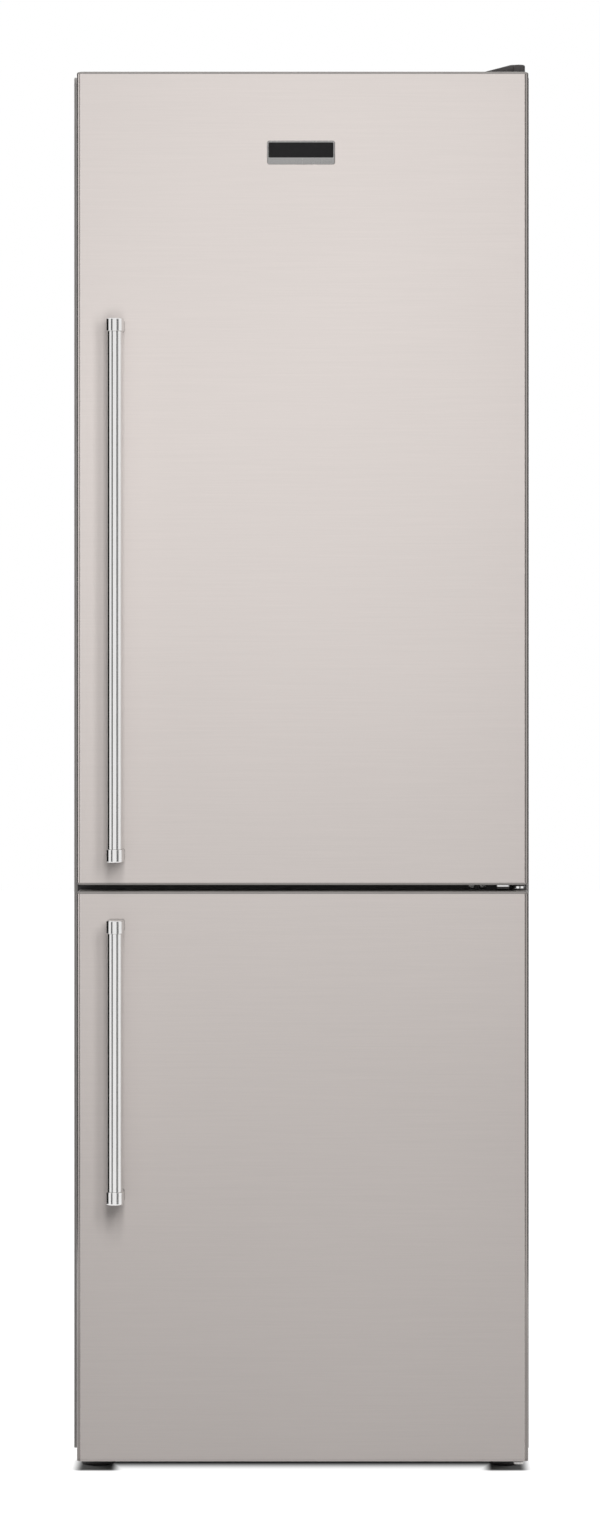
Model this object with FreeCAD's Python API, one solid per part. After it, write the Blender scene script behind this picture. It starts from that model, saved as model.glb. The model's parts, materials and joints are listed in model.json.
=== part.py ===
import FreeCAD, Part
import math
import os

# A free-standing fridge-freezer with two right-hinged doors. Millimetres, +Z up, the front faces -Y.
# The origin is on the floor, below the centre of the whole object.

# Cabinet
CABINET_WIDTH = 600
CABINET_DEPTH = 560
CABINET_BASE = 26
SHEET = 0.8
FRONT_FLANGE = 42
TOP_DROP = 1
CABINET_TOP_RADIUS = 6

# Doors
DOOR_LEFT_STEP = 6.5
DOOR_RIGHT_STEP = 2.5
DOOR_THICKNESS = 56
DOOR_CABINET_GAP = 8
DOOR_EDGE_RADIUS = 4
DOOR_END_CAP = 3
DOOR_SPACING = 8.5
FREEZER_DOOR_BASE = 18
FREEZER_DOOR_HEIGHT = 745.5
FRIDGE_DOOR_HEIGHT = 1064

# Liners and insulation
LINER = 2
LIP_OVERLAP = 8
CAVITY_RADIUS = 10
FRIDGE_SIDE_WALL = 50
FRIDGE_TOP_WALL = 55
FRIDGE_BACK_WALL = 57
MULLION_HEIGHT = 65
FREEZER_SIDE_WALL = 62
FREEZER_FLOOR_WALL = 66
FREEZER_BACK_WALL = 72
NICHE_HEIGHT = 224
NICHE_DEPTH = 200
NICHE_WALL = 50
BASE_SHEET = 1.5

# Gasket, in three layers from the door to the cabinet
GASKET_INSET = 14.5
GASKET_WIDTH = 16
GASKET_WAIST = 9
GASKET_MAGNET = 13
GASKET_BASE_DEPTH = 1.5
GASKET_WAIST_DEPTH = 3
GASKET_CLEARANCE = 0.3

# Hinges
HINGE_INSET = 12.2
HINGE_SETBACK = 27
HINGE_PLATE = 3
HINGE_ARM_WIDTH = 13
HINGE_TOP_LENGTH = 92
HINGE_TOP_WIDTH = 44
HINGE_TOP_JOGGLE = 3
HINGE_PIN_RADIUS = 4
HINGE_PIN_REACH = 12
HINGE_PIN_FIT = 0.06
HINGE_BUSH_RADIUS = 7.5
HINGE_BUSH_DEPTH = 15
HINGE_BORE_DEPTH = 13
MIDDLE_HINGE_DROP = 3
MIDDLE_FLANGE_LENGTH = 74
MIDDLE_FLANGE_HEIGHT = 28
MIDDLE_TAB_WIDTH = 16.3
MIDDLE_TAB_GAP = 12.7
MIDDLE_TAB_REACH = 14
BOTTOM_HINGE_DROP = 4
BOTTOM_TAB_DEPTH = 80
BOTTOM_TAB_WIDTH = 62
WASHER_RADIUS = 7.8
WASHER_HEIGHT = 1.2
SCREW_RADIUS = 2.5
SCREW_HEAD_RADIUS = 4.5
SCREW_HEAD_HEIGHT = 2
SCREW_LENGTH = 12

# Cover of the top hinge
COVER_FLAT_WIDTH = 24.3
COVER_SLOPE_WIDTH = 34.4
COVER_EDGE = 8.4
COVER_HEIGHT = 14
COVER_LIFT = 0.8
COVER_WALL = 1.6
COVER_BACK = 130
COVER_RADIUS = 2

# Handles
BAR_RADIUS = 10
BAR_STANDOFF = 46.5
HANDLE_CAP_RADIUS = 11.5
HANDLE_CAP_HEIGHT = 17
HANDLE_INSET = 52.1
HANDLE_POST_WIDTH = 22
HANDLE_POST_HEIGHT = 16
HANDLE_POST_RADIUS = 3
HANDLE_CAP_CHAMFER = 1.2
FRIDGE_HANDLE_LENGTH = 707.6
FRIDGE_HANDLE_LIFT = 31.6
FREEZER_HANDLE_LENGTH = 369.7
FREEZER_HANDLE_DROP = 35

# Plate on the fridge door
BADGE_WIDTH = 89
BADGE_HEIGHT = 31
BADGE_DEPTH = 2.4
BADGE_RADIUS = 3
BADGE_DROP = 106
BADGE_RIM = 2.4
BADGE_BAND = 9
BADGE_INSET_DEPTH = 1.6

# Inner side of the doors
RIB_WIDTH = 22
RIB_DEPTH = 75
RIB_END_GAP = 24
RIB_HINGE_SIDE = 60.3
RIB_FREE_SIDE = 65.5
RIB_RADIUS = 6
LUG_REACH = 5
LUG_LENGTH = 50
LUG_HEIGHT = 5
BULGE_DEPTH = 30
BULGE_RADIUS = 18
BULGE_HINGE_SIDE = 90
BULGE_FREE_SIDE = 78
BULGE_END_GAP = 40

# Balconies
BALCONY_DEPTH = 110
BALCONY_WALL = 2.6
BALCONY_RADIUS = 16
BALCONY_FIT = 0.5
BALCONY_HEIGHT = 72
BOTTLE_BALCONY_HEIGHT = 110
BOTTLE_BALCONY_LIFT = 34
MIDDLE_BALCONY_LIFT = 400
UPPER_BALCONY_LIFT = 700

# Shelves
SHELF_FRONT_GAP = 12
SHELF_BACK_GAP = 12
SHELF_SIDE_GAP = 1.5
GLASS = 4
GLASS_RADIUS = 5
LEDGE_WIDTH = 9
LEDGE_HEIGHT = 7
LOWEST_SHELF_LIFT = 196
SHELF_PITCH = 182
SHELF_COUNT = 4
TRIM_DEPTH = 16
TRIM_HEIGHT = 12
TRIM_BITE = 10

# Crisper drawer
CRISPER_SIDE_GAP = 5
CRISPER_FLOOR_GAP = 0.3
CRISPER_TOP_GAP = 12
CRISPER_FRONT_GAP = 12
CRISPER_BACK_GAP = 14
CRISPER_WALL = 2.6
CRISPER_RADIUS = 14
CRISPER_GRIP_HEIGHT = 16
CRISPER_GRIP_REACH = 11

# Freezer drawers
DRAWER_WALL = 2.4
DRAWER_RADIUS = 10
DRAWER_SIDE_GAP = 4
DRAWER_FRONT_GAP = 13
DRAWER_BACK_GAP = 8
DRAWER_FIT = 0.3
DRAWER_HEADROOM = 9
DRAWER_FRONT = 14
DRAWER_GRIP_HEIGHT = 30
DRAWER_GRIP_DEPTH = 9
DRAWER_GRIP_INSET = 60
RAIL_WIDTH = 12
RAIL_HEIGHT = 8

# Freezer air space
REAR_COVER = 2
REAR_COVER_GAP = 54
REAR_COVER_SIDE_GAP = 1.5
REAR_COVER_FLOOR_GAP = 6
REAR_COVER_FOOT = 5
FAN_DROP = 76
FAN_RADIUS = 44
FAN_HUB_RADIUS = 14
FAN_DEPTH = 16
FAN_BLADES = 6
FAN_BLADE = 1.6
FAN_TWIST_DEGREES = 32
FAN_CLEARANCE = 4
FAN_BORE_FIT = 0.08
MOTOR_RADIUS = 19
MOTOR_DEPTH = 20
MOTOR_SHAFT_RADIUS = 2
MOTOR_ARM = 6
MOTOR_GAP = 1.5
GRILLE_SLOT = 5
GRILLE_PITCH = 11
GRILLE_SLOTS = 6
GRILLE_WIDTH = 150
EVAPORATOR_SIDE_GAP = 48
EVAPORATOR_HEIGHT = 150
EVAPORATOR_DEPTH = 32
EVAPORATOR_LIFT = 14
EVAPORATOR_TUBE_RADIUS = 4
EVAPORATOR_RUNS = 5
EVAPORATOR_FINS = 30
FIN = 0.8

# Fridge air duct, light and controls
DUCT_WIDTH = 130
DUCT_DEPTH = 9
DUCT_END_GAP = 20
DUCT_SLOT_WIDTH = 60
DUCT_SLOT_HEIGHT = 6
HOUSING_WIDTH = 210
HOUSING_DEPTH = 120
HOUSING_HEIGHT = 38
HOUSING_FRONT = 70
HOUSING_RADIUS = 8
LENS_WIDTH = 110
LENS_DEPTH = 84
LENS_HEIGHT = 5
LENS_WALL = 1.6
LENS_SHIFT = 30
KNOB_RADIUS = 14
KNOB_DEPTH = 12
KNOB_GAP = 0.5
KNOB_SHIFT = 70
KNOB_STEM_RADIUS = 3
KNOB_STEM_LENGTH = 8
KNOB_STEM_FIT = 0.06
KNOB_NOTCHES = 12
KNOB_NOTCH_RADIUS = 1.6
SWITCH_RADIUS = 3.5
SWITCH_LENGTH = 34
SWITCH_FIT = 0.06
SWITCH_BOSS_WALL = 2
SWITCH_TRAVEL = 6
SWITCH_INSET = 177.5
SWITCH_LIFT = 12

# Feet and rollers
FOOT_PAD_RADIUS = 22
FOOT_PAD_HEIGHT = 7
FOOT_NECK_RADIUS = 13
FOOT_NECK_HEIGHT = 5
FOOT_STEM_RADIUS = 5
FOOT_STEM_FIT = 0.1
FOOT_STEM_REACH = 30
FOOT_INSET = 30
FOOT_SETBACK = 35
FOOT_BOSS_RADIUS = 11
FOOT_BOSS_HEIGHT = 26
ROLLER_RADIUS = 14
ROLLER_WIDTH = 16
ROLLER_SIDE_GAP = 0.6
ROLLER_INSET = 40
ROLLER_SETBACK = 40
AXLE_RADIUS = 3
AXLE_FIT = 0.06
AXLE_HEAD_RADIUS = 5
AXLE_HEAD = 2
FORK = 2.5
FORK_LENGTH = 30
FORK_CHIN = 6

# Compressor niche
COMPRESSOR_PLATE = 2
COMPRESSOR_PLATE_LIFT = 8
COMPRESSOR_RADIUS = 72
COMPRESSOR_HEIGHT = 134
COMPRESSOR_DOME = 34
COMPRESSOR_SEAM = 4
COMPRESSOR_SEAM_HEIGHT = 5
COMPRESSOR_INSET = 180
COMPRESSOR_FOOT = 3
COMPRESSOR_FOOT_LENGTH = 190
COMPRESSOR_FOOT_WIDTH = 110
GROMMET_RADIUS = 11
GROMMET_HEIGHT = 13
GROMMET_INSET = 16
ELECTRIC_WIDTH = 42
ELECTRIC_DEPTH = 70
ELECTRIC_HEIGHT = 64
ELECTRIC_WALL = 2
ELECTRIC_LIFT = 40
ELECTRIC_GAP = 3
INLET_RADIUS = 8
INLET_LENGTH = 12
INLET_BORE_RADIUS = 4
TRAY_WIDTH = 150
TRAY_DEPTH = 120
TRAY_HEIGHT = 24
TRAY_WALL = 2
TRAY_RADIUS = 12
DRIER_RADIUS = 9
DRIER_LENGTH = 90
DRIER_INSET = 140
DRIER_SETBACK = 60
DRIER_LIFT = 60
PIPE_RADIUS = 3
PIPE_BEND = 20
PIPE_SEAT = 8

# Condenser behind the cabinet
CONDENSER_REACH = 28
CONDENSER_SIDE_GAP = 50
CONDENSER_TUBE_RADIUS = 2.5
CONDENSER_LIFT = 300
CONDENSER_PITCH = 62
CONDENSER_RUNS = 22
CONDENSER_TUBE_GAP = 0.3
WIRE_RADIUS = 0.9
WIRE_COUNT = 32
WIRE_MARGIN = 14
END_BAR_WIDTH = 8
END_BAR_HEIGHT = 10
CLIP_WIDTH = 18
CLIP_WALL = 3

# Overrun of every cut, and the smallest run of a path
OVERRUN = 5
TINY = 0.0003

# Shares: corner of a hinge arm, blade chord, shaft in the hub, pipe height on the can, end bar depth,
# place of a clip across the condenser
ROUND_END_SHARE = 0.95
BLADE_CHORD_SHARE = 0.9
SHAFT_REACH_SHARE = 0.75
PIPE_HEIGHT_SHARE = 0.72
BAR_DEPTH_SHARE = 0.8
CLIP_PLACE_SHARE = 0.667

# Places across the depth, front to back
HANDLE_REACH = BAR_STANDOFF + HANDLE_CAP_RADIUS
TOTAL_DEPTH = HANDLE_REACH + DOOR_THICKNESS + DOOR_CABINET_GAP + CABINET_DEPTH + CONDENSER_REACH
DOOR_FRONT = HANDLE_REACH - TOTAL_DEPTH / 2
DOOR_REAR = DOOR_FRONT + DOOR_THICKNESS
CABINET_FRONT = DOOR_REAR + DOOR_CABINET_GAP
CABINET_BACK = CABINET_FRONT + CABINET_DEPTH
NICHE_FRONT = CABINET_BACK - NICHE_DEPTH
FRIDGE_BACK = CABINET_BACK - FRIDGE_BACK_WALL
FREEZER_BACK = CABINET_BACK - FREEZER_BACK_WALL
BALCONY_REACH = DOOR_REAR + BALCONY_DEPTH
SHELF_FRONT = BALCONY_REACH + SHELF_FRONT_GAP
SHELF_BACK = FRIDGE_BACK - SHELF_BACK_GAP
REAR_COVER_FRONT = FREEZER_BACK - REAR_COVER_GAP

# Places across the width
CABINET_SIDE = CABINET_WIDTH / 2
DOOR_LEFT = DOOR_LEFT_STEP - CABINET_SIDE
DOOR_RIGHT = CABINET_SIDE - DOOR_RIGHT_STEP
FRIDGE_SIDE = CABINET_SIDE - FRIDGE_SIDE_WALL
FREEZER_SIDE = CABINET_SIDE - FREEZER_SIDE_WALL
FLANGE_SIDE = CABINET_SIDE - FRONT_FLANGE
EVAPORATOR_SIDE = FREEZER_SIDE - EVAPORATOR_SIDE_GAP
CONDENSER_SIDE = CABINET_SIDE - CONDENSER_SIDE_GAP
COMPRESSOR_X = CABINET_SIDE - COMPRESSOR_INSET
DRIER_X = DRIER_INSET - CABINET_SIDE
SWITCH_X = DOOR_RIGHT - SWITCH_INSET
HINGE_X = DOOR_RIGHT - HINGE_INSET
HINGE_Y = DOOR_FRONT + HINGE_SETBACK

# Places up the height
FREEZER_DOOR_TOP = FREEZER_DOOR_BASE + FREEZER_DOOR_HEIGHT
FRIDGE_DOOR_BASE = FREEZER_DOOR_TOP + DOOR_SPACING
FRIDGE_DOOR_TOP = FRIDGE_DOOR_BASE + FRIDGE_DOOR_HEIGHT
CABINET_TOP = FRIDGE_DOOR_TOP - TOP_DROP
MULLION_MIDDLE = FREEZER_DOOR_TOP + DOOR_SPACING / 2
FRIDGE_FLOOR = MULLION_MIDDLE + MULLION_HEIGHT / 2
FRIDGE_CEILING = CABINET_TOP - FRIDGE_TOP_WALL
FREEZER_FLOOR = CABINET_BASE + FREEZER_FLOOR_WALL
FREEZER_CEILING = MULLION_MIDDLE - MULLION_HEIGHT / 2
NICHE_TOP = CABINET_BASE + NICHE_HEIGHT
FREEZER_STEP = NICHE_TOP + NICHE_WALL
FREEZER_STEP_BACK = NICHE_FRONT - NICHE_WALL
PLATE_BASE = CABINET_BASE + COMPRESSOR_PLATE_LIFT
PLATE_TOP = PLATE_BASE + COMPRESSOR_PLATE

UP = FreeCAD.Vector(0, 0, 1)
RIGHTWARDS = FreeCAD.Vector(1, 0, 0)
REARWARDS = FreeCAD.Vector(0, 1, 0)


def point(x, y, z):
    return FreeCAD.Vector(x, y, z)


def box(x0, x1, y0, y1, z0, z1):
    return Part.makeBox(x1 - x0, y1 - y0, z1 - z0, point(x0, y0, z0))


def rod(start, end, radius):
    along = end - start
    return Part.makeCylinder(radius, along.Length, start, along)


def ring(start, end, outer, inner):
    return rod(start, end, outer).cut(rod(start, end, inner))


def union(shapes):
    shapes = list(shapes)
    return shapes[0].multiFuse(shapes[1:]).removeSplitter()


def without(shape, tools):
    for tool in tools:
        shape = shape.cut(tool)
    return shape


def group(shapes):
    return Part.makeCompound(list(shapes))


def mirrored(shape):
    return shape.mirror(point(0, 0, 0), RIGHTWARDS)


def rounded_path(corners, radii, closed=False):
    """Straight runs through the corners, joined by tangent arcs of the given radii."""
    count = len(corners)
    ends = []
    for i, corner in enumerate(corners):
        inner = closed or 0 < i < count - 1
        radius = radii[i]
        if not inner or not radius:
            ends.append((corner, None, corner))
            continue
        back = (corners[i - 1] - corner).normalize()
        ahead = (corners[(i + 1) % count] - corner).normalize()
        half = back.getAngle(ahead) / 2
        reach = radius / math.tan(half)
        middle = (back + ahead).normalize()
        centre = corner + middle * (radius / math.sin(half))
        ends.append((corner + back * reach, centre - middle * radius, corner + ahead * reach))
    edges = []
    for i, (start, middle, end) in enumerate(ends):
        if middle:
            edges.append(Part.Arc(start, middle, end).toShape())
        following = ends[(i + 1) % count][0]
        if (closed or i < count - 1) and end.distanceToPoint(following) > TINY:
            edges.append(Part.LineSegment(end, following).toShape())
    return Part.Wire(edges)


def plate_z(outline, radii, z0, z1):
    """An outline in X and Y, rounded at its corners, between two heights."""
    wire = rounded_path([point(x, y, z0) for x, y in outline], radii, True)
    return Part.Face(wire).extrude(UP * (z1 - z0))


def plate_y(outline, radii, y0, y1):
    """An outline in X and Z, rounded at its corners, between two depths."""
    wire = rounded_path([point(x, y0, z) for x, z in outline], radii, True)
    return Part.Face(wire).extrude(REARWARDS * (y1 - y0))


def plate_x(outline, radii, x0, x1):
    """An outline in Y and Z, rounded at its corners, between two sides."""
    wire = rounded_path([point(x0, y, z) for y, z in outline], radii, True)
    return Part.Face(wire).extrude(RIGHTWARDS * (x1 - x0))


def corners(a0, a1, b0, b1):
    return [(a0, b0), (a1, b0), (a1, b1), (a0, b1)]


def block(x0, x1, y0, y1, z0, z1, radius):
    """A box whose upright edges are rounded."""
    return plate_z(corners(x0, x1, y0, y1), [radius] * 4, z0, z1)


def tray(x0, x1, y0, y1, z0, z1, wall, radius):
    """An open-topped tray with rounded upright edges."""
    outer = block(x0, x1, y0, y1, z0, z1, radius)
    inner = block(x0 + wall, x1 - wall, y0 + wall, y1 - wall, z0 + wall, z1 + OVERRUN, radius - wall)
    return outer.cut(inner)


def pipe(route, bend, radius):
    """A round tube along straight runs and tangent arcs, checked against section times length."""
    path = rounded_path(route, [bend] * len(route))
    start = path.OrderedEdges[0]
    section = Part.Wire(Part.makeCircle(radius, route[0], start.tangentAt(start.FirstParameter)))
    solid = path.makePipeShell([section], True, False)
    expected = math.pi * radius * radius * path.Length
    print("tube volume over section times length:", round(solid.Volume / expected, 4))
    return solid


# Hollow of each liner, with its rounded upright edges at the back


def fridge_hollow(grow):
    """The fridge cavity, larger by the given wall on every side but the front."""
    side = FRIDGE_SIDE + grow
    outline = corners(-side, side, CABINET_FRONT, FRIDGE_BACK + grow)
    radii = [0, 0, CAVITY_RADIUS + grow, CAVITY_RADIUS + grow]
    return plate_z(outline, radii, FRIDGE_FLOOR - grow, FRIDGE_CEILING + grow)


def freezer_hollow(grow):
    """The freezer cavity with the step over the compressor niche."""
    side = FREEZER_SIDE + grow
    outline = [
        (CABINET_FRONT, FREEZER_FLOOR - grow),
        (FREEZER_STEP_BACK + grow, FREEZER_FLOOR - grow),
        (FREEZER_STEP_BACK + grow, FREEZER_STEP - grow),
        (FREEZER_BACK + grow, FREEZER_STEP - grow),
        (FREEZER_BACK + grow, FREEZER_CEILING + grow),
        (CABINET_FRONT, FREEZER_CEILING + grow),
    ]
    radii = [0, CAVITY_RADIUS + grow, CAVITY_RADIUS - grow, CAVITY_RADIUS + grow, CAVITY_RADIUS + grow, 0]
    return plate_x(outline, radii, -side, side)


def liner_lip(bottom, top):
    """The front edge of a liner, out to the steel front flanges."""
    low = bottom - LIP_OVERLAP
    high = top + LIP_OVERLAP
    return box(-FLANGE_SIDE, FLANGE_SIDE, CABINET_FRONT, CABINET_FRONT + LINER, low, high)


def ledge_heights():
    """Undersides of the glass shelves."""
    return [FRIDGE_FLOOR + LOWEST_SHELF_LIFT + SHELF_PITCH * i for i in range(SHELF_COUNT)]


def side_ledges(side, front, back, top):
    """A moulded ledge on each side wall."""
    right = box(side - LEDGE_WIDTH, side, front, back, top - LEDGE_HEIGHT, top)
    return [right, mirrored(right)]


def switch_z():
    return FRIDGE_CEILING + SWITCH_LIFT


def switch_bore():
    back = DOOR_REAR + SWITCH_LENGTH + SWITCH_TRAVEL
    front = point(SWITCH_X, CABINET_FRONT - OVERRUN, switch_z())
    return rod(front, point(SWITCH_X, back, switch_z()), SWITCH_RADIUS + SWITCH_FIT)


def switch_boss():
    back = DOOR_REAR + SWITCH_LENGTH + SWITCH_TRAVEL
    start = point(SWITCH_X, CABINET_FRONT, switch_z())
    return rod(start, point(SWITCH_X, back, switch_z()), SWITCH_RADIUS + SWITCH_FIT + SWITCH_BOSS_WALL)


def fridge_liner():
    shell = union([fridge_hollow(LINER), liner_lip(FRIDGE_FLOOR, FRIDGE_CEILING), switch_boss()])
    shell = without(shell, [fridge_hollow(0), switch_bore()])
    ledges = []
    for top in ledge_heights():
        ledges += side_ledges(FRIDGE_SIDE, SHELF_FRONT, SHELF_BACK, top)
    return union([shell] + ledges)


def drawer_floors():
    """Undersides of the three freezer drawers, and their tops."""
    lowest = FREEZER_FLOOR + RAIL_HEIGHT + DRAWER_FIT
    middle = FREEZER_STEP + RAIL_HEIGHT + DRAWER_FIT
    upper = (middle + FREEZER_CEILING + DRAWER_FIT) / 2
    tops = [middle - DRAWER_HEADROOM - RAIL_HEIGHT, upper - DRAWER_HEADROOM - RAIL_HEIGHT]
    return list(zip([lowest, middle, upper], tops + [FREEZER_CEILING - DRAWER_HEADROOM]))


def drawer_backs():
    return [FREEZER_STEP_BACK - DRAWER_BACK_GAP] + [REAR_COVER_FRONT - DRAWER_BACK_GAP] * 2


def drawer_front():
    return DOOR_REAR + BULGE_DEPTH + DRAWER_FRONT_GAP


def freezer_liner():
    shell = union([freezer_hollow(LINER), liner_lip(FREEZER_FLOOR, FREEZER_CEILING)])
    shell = shell.cut(freezer_hollow(0))
    rails = []
    for (low, _), back in zip(drawer_floors(), drawer_backs()):
        top = low - DRAWER_FIT
        rail = box(FREEZER_SIDE - RAIL_WIDTH, FREEZER_SIDE, drawer_front(), back, top - RAIL_HEIGHT, top)
        rails += [rail, mirrored(rail)]
    return union([shell] + rails)


# Cabinet shell


def side_panel_right():
    """Steel side sheet with its front flange turned inwards and a rounded upper front corner."""
    outline = corners(CABINET_FRONT, CABINET_BACK, CABINET_BASE, CABINET_TOP)
    radii = [0, 0, 0, CABINET_TOP_RADIUS]
    side = plate_x(outline, radii, CABINET_SIDE - SHEET, CABINET_SIDE)
    face = corners(FLANGE_SIDE, CABINET_SIDE, CABINET_BASE, CABINET_TOP - CABINET_TOP_RADIUS)
    return union([side, plate_y(face, [0] * 4, CABINET_FRONT, CABINET_FRONT + SHEET)])


def top_panel():
    """Top sheet with its front edge rolled down to the flange above the fridge opening."""
    inside = CABINET_SIDE - SHEET
    radius = CABINET_TOP_RADIUS
    low = FRIDGE_CEILING + LIP_OVERLAP
    outer = [
        (CABINET_FRONT, low),
        (CABINET_BACK, low),
        (CABINET_BACK, CABINET_TOP),
        (CABINET_FRONT, CABINET_TOP),
    ]
    inner = [
        (CABINET_FRONT + SHEET, low - OVERRUN),
        (CABINET_BACK + OVERRUN, low - OVERRUN),
        (CABINET_BACK + OVERRUN, CABINET_TOP - SHEET),
        (CABINET_FRONT + SHEET, CABINET_TOP - SHEET),
    ]
    sheet = plate_x(outer, [0, 0, 0, radius], -inside, inside)
    sheet = sheet.cut(plate_x(inner, [0, 0, 0, radius - SHEET], -inside - OVERRUN, inside + OVERRUN))
    shelf = CABINET_TOP - radius
    for sign in (1, -1):
        edges = sorted((sign * FLANGE_SIDE, sign * (inside + OVERRUN)))
        notch = box(*edges, CABINET_FRONT - OVERRUN, CABINET_FRONT + SHEET, low - OVERRUN, shelf)
        sheet = sheet.cut(notch)
    return without(sheet, [switch_boss()])


def back_panel():
    inside = CABINET_SIDE - SHEET
    return box(-inside, inside, CABINET_BACK - SHEET, CABINET_BACK, NICHE_TOP, CABINET_TOP - SHEET)


def mullion_rail():
    """Steel rail between the two openings."""
    low = FREEZER_CEILING + LIP_OVERLAP
    high = FRIDGE_FLOOR - LIP_OVERLAP
    return box(-FLANGE_SIDE, FLANGE_SIDE, CABINET_FRONT, CABINET_FRONT + SHEET, low, high)


def base_pan():
    """Bottom sheet: front flange, floor, and the two walls of the compressor niche."""
    inside = CABINET_SIDE - SHEET
    niche = NICHE_FRONT
    floor = box(-inside, inside, CABINET_FRONT + SHEET, niche, CABINET_BASE, CABINET_BASE + BASE_SHEET)
    wall = box(-inside, inside, niche - BASE_SHEET, niche, CABINET_BASE, NICHE_TOP)
    roof = box(-inside, inside, niche - BASE_SHEET, CABINET_BACK, NICHE_TOP - BASE_SHEET, NICHE_TOP)
    high = FREEZER_FLOOR - LIP_OVERLAP
    face = box(-FLANGE_SIDE, FLANGE_SIDE, CABINET_FRONT, CABINET_FRONT + SHEET, CABINET_BASE, high)
    bosses = [
        rod(foot_point(s, CABINET_BASE), foot_point(s, CABINET_BASE + FOOT_BOSS_HEIGHT), FOOT_BOSS_RADIUS)
        for s in (1, -1)
    ]
    pan = union([floor, wall, roof, face] + bosses)
    return without(pan, [foot_bore(1), foot_bore(-1)])


def foot_point(sign, z):
    return point(sign * (CABINET_SIDE - FOOT_INSET), CABINET_FRONT + FOOT_SETBACK, z)


def foot_bore(sign):
    top = CABINET_BASE + FOOT_BOSS_HEIGHT + OVERRUN
    return rod(foot_point(sign, 0), foot_point(sign, top), FOOT_STEM_RADIUS + FOOT_STEM_FIT)


def foot(sign):
    """Screw foot: pad, neck and stem."""
    pad = Part.makeCone(
        FOOT_PAD_RADIUS, FOOT_NECK_RADIUS, FOOT_NECK_HEIGHT, foot_point(sign, FOOT_PAD_HEIGHT), UP
    )
    base = rod(foot_point(sign, 0), foot_point(sign, FOOT_PAD_HEIGHT), FOOT_PAD_RADIUS)
    top = CABINET_BASE + FOOT_STEM_REACH
    stem = rod(foot_point(sign, FOOT_PAD_HEIGHT), foot_point(sign, top), FOOT_STEM_RADIUS)
    return union([base, pad, stem])


def insulation_foam(neighbours):
    """Foam between the steel shell and the liners."""
    inside = CABINET_SIDE - SHEET
    low = CABINET_BASE + BASE_SHEET
    outline = corners(CABINET_FRONT + SHEET, CABINET_BACK - SHEET, low, CABINET_TOP - SHEET)
    foam = plate_x(outline, [0, 0, 0, CABINET_TOP_RADIUS - SHEET], -inside, inside)
    niche = box(
        -CABINET_SIDE, CABINET_SIDE, NICHE_FRONT - BASE_SHEET, CABINET_BACK, CABINET_BASE, NICHE_TOP
    )
    foam = without(foam, [niche, fridge_hollow(0), freezer_hollow(0), switch_bore()])
    foam = without(foam, [foot_bore(1), foot_bore(-1)])
    return without(foam, neighbours)


# Hinges


def pin(z0, z1):
    return rod(point(HINGE_X, HINGE_Y, z0), point(HINGE_X, HINGE_Y, z1), HINGE_PIN_RADIUS)


def hinge_arm(z0, z1, back):
    """A flat arm from the hinge axis to the rear, rounded round the axis."""
    half = HINGE_ARM_WIDTH / 2
    outline = [
        (HINGE_X - half, HINGE_Y - half),
        (HINGE_X + half, HINGE_Y - half),
        (HINGE_X + half, back),
        (HINGE_X - half, back),
    ]
    return plate_z(outline, [half * ROUND_END_SHARE, half * ROUND_END_SHARE, 0, 0], z0, z1)


def top_hinge():
    """Joggled bracket on the cabinet top, with its pin pointing down into the fridge door."""
    base = CABINET_TOP
    arm_low = base + HINGE_TOP_JOGGLE
    back = CABINET_FRONT + HINGE_TOP_LENGTH
    arm = hinge_arm(arm_low, arm_low + HINGE_PLATE, back - HINGE_TOP_WIDTH)
    right = HINGE_X + HINGE_ARM_WIDTH / 2
    front = CABINET_FRONT + CABINET_TOP_RADIUS
    foot_plate = box(right - HINGE_TOP_WIDTH, right, front, back, base, base + HINGE_TOP_JOGGLE)
    pin_low = FRIDGE_DOOR_TOP - HINGE_PIN_REACH
    bracket = union([arm, foot_plate, pin(pin_low, arm_low + HINGE_PLATE)])
    return without(bracket, top_screw_bores())


def top_screw_spots():
    right = HINGE_X + HINGE_ARM_WIDTH / 2
    back = CABINET_FRONT + HINGE_TOP_LENGTH
    inset = SCREW_HEAD_RADIUS + SCREW_RADIUS
    front = CABINET_FRONT + CABINET_TOP_RADIUS + inset
    left = right - HINGE_TOP_WIDTH + inset
    return [(left, front), (left, back - inset), (right - inset, back - inset)]


def top_screw_bores():
    low = CABINET_TOP - OVERRUN
    high = CABINET_TOP + OVERRUN
    return [rod(point(x, y, low), point(x, y, high), SCREW_RADIUS) for x, y in top_screw_spots()]


def middle_hinge_base():
    return FREEZER_DOOR_TOP + MIDDLE_HINGE_DROP


def middle_hinge():
    """Bracket between the doors: a pin each way, washers, and a flange on the rail."""
    low = middle_hinge_base()
    high = low + HINGE_PLATE
    face = CABINET_FRONT - HINGE_PLATE
    arm = hinge_arm(low, high, CABINET_FRONT)
    right = HINGE_X + HINGE_ARM_WIDTH / 2
    left = right - MIDDLE_FLANGE_LENGTH
    middle = (low + high) / 2
    half = MIDDLE_FLANGE_HEIGHT / 2
    flange = box(left, right, face, CABINET_FRONT, middle - half, middle + half)
    tab_right = HINGE_X - MIDDLE_TAB_GAP
    tab = box(tab_right - MIDDLE_TAB_WIDTH, tab_right, HINGE_Y - MIDDLE_TAB_REACH, CABINET_FRONT, low, high)
    washer = rod(point(HINGE_X, HINGE_Y, high), point(HINGE_X, HINGE_Y, high + WASHER_HEIGHT), WASHER_RADIUS)
    pins = pin(FREEZER_DOOR_TOP - HINGE_PIN_REACH, FRIDGE_DOOR_BASE + HINGE_PIN_REACH)
    bracket = union([arm, flange, tab, washer, pins])
    return without(bracket, middle_screw_bores())


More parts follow.
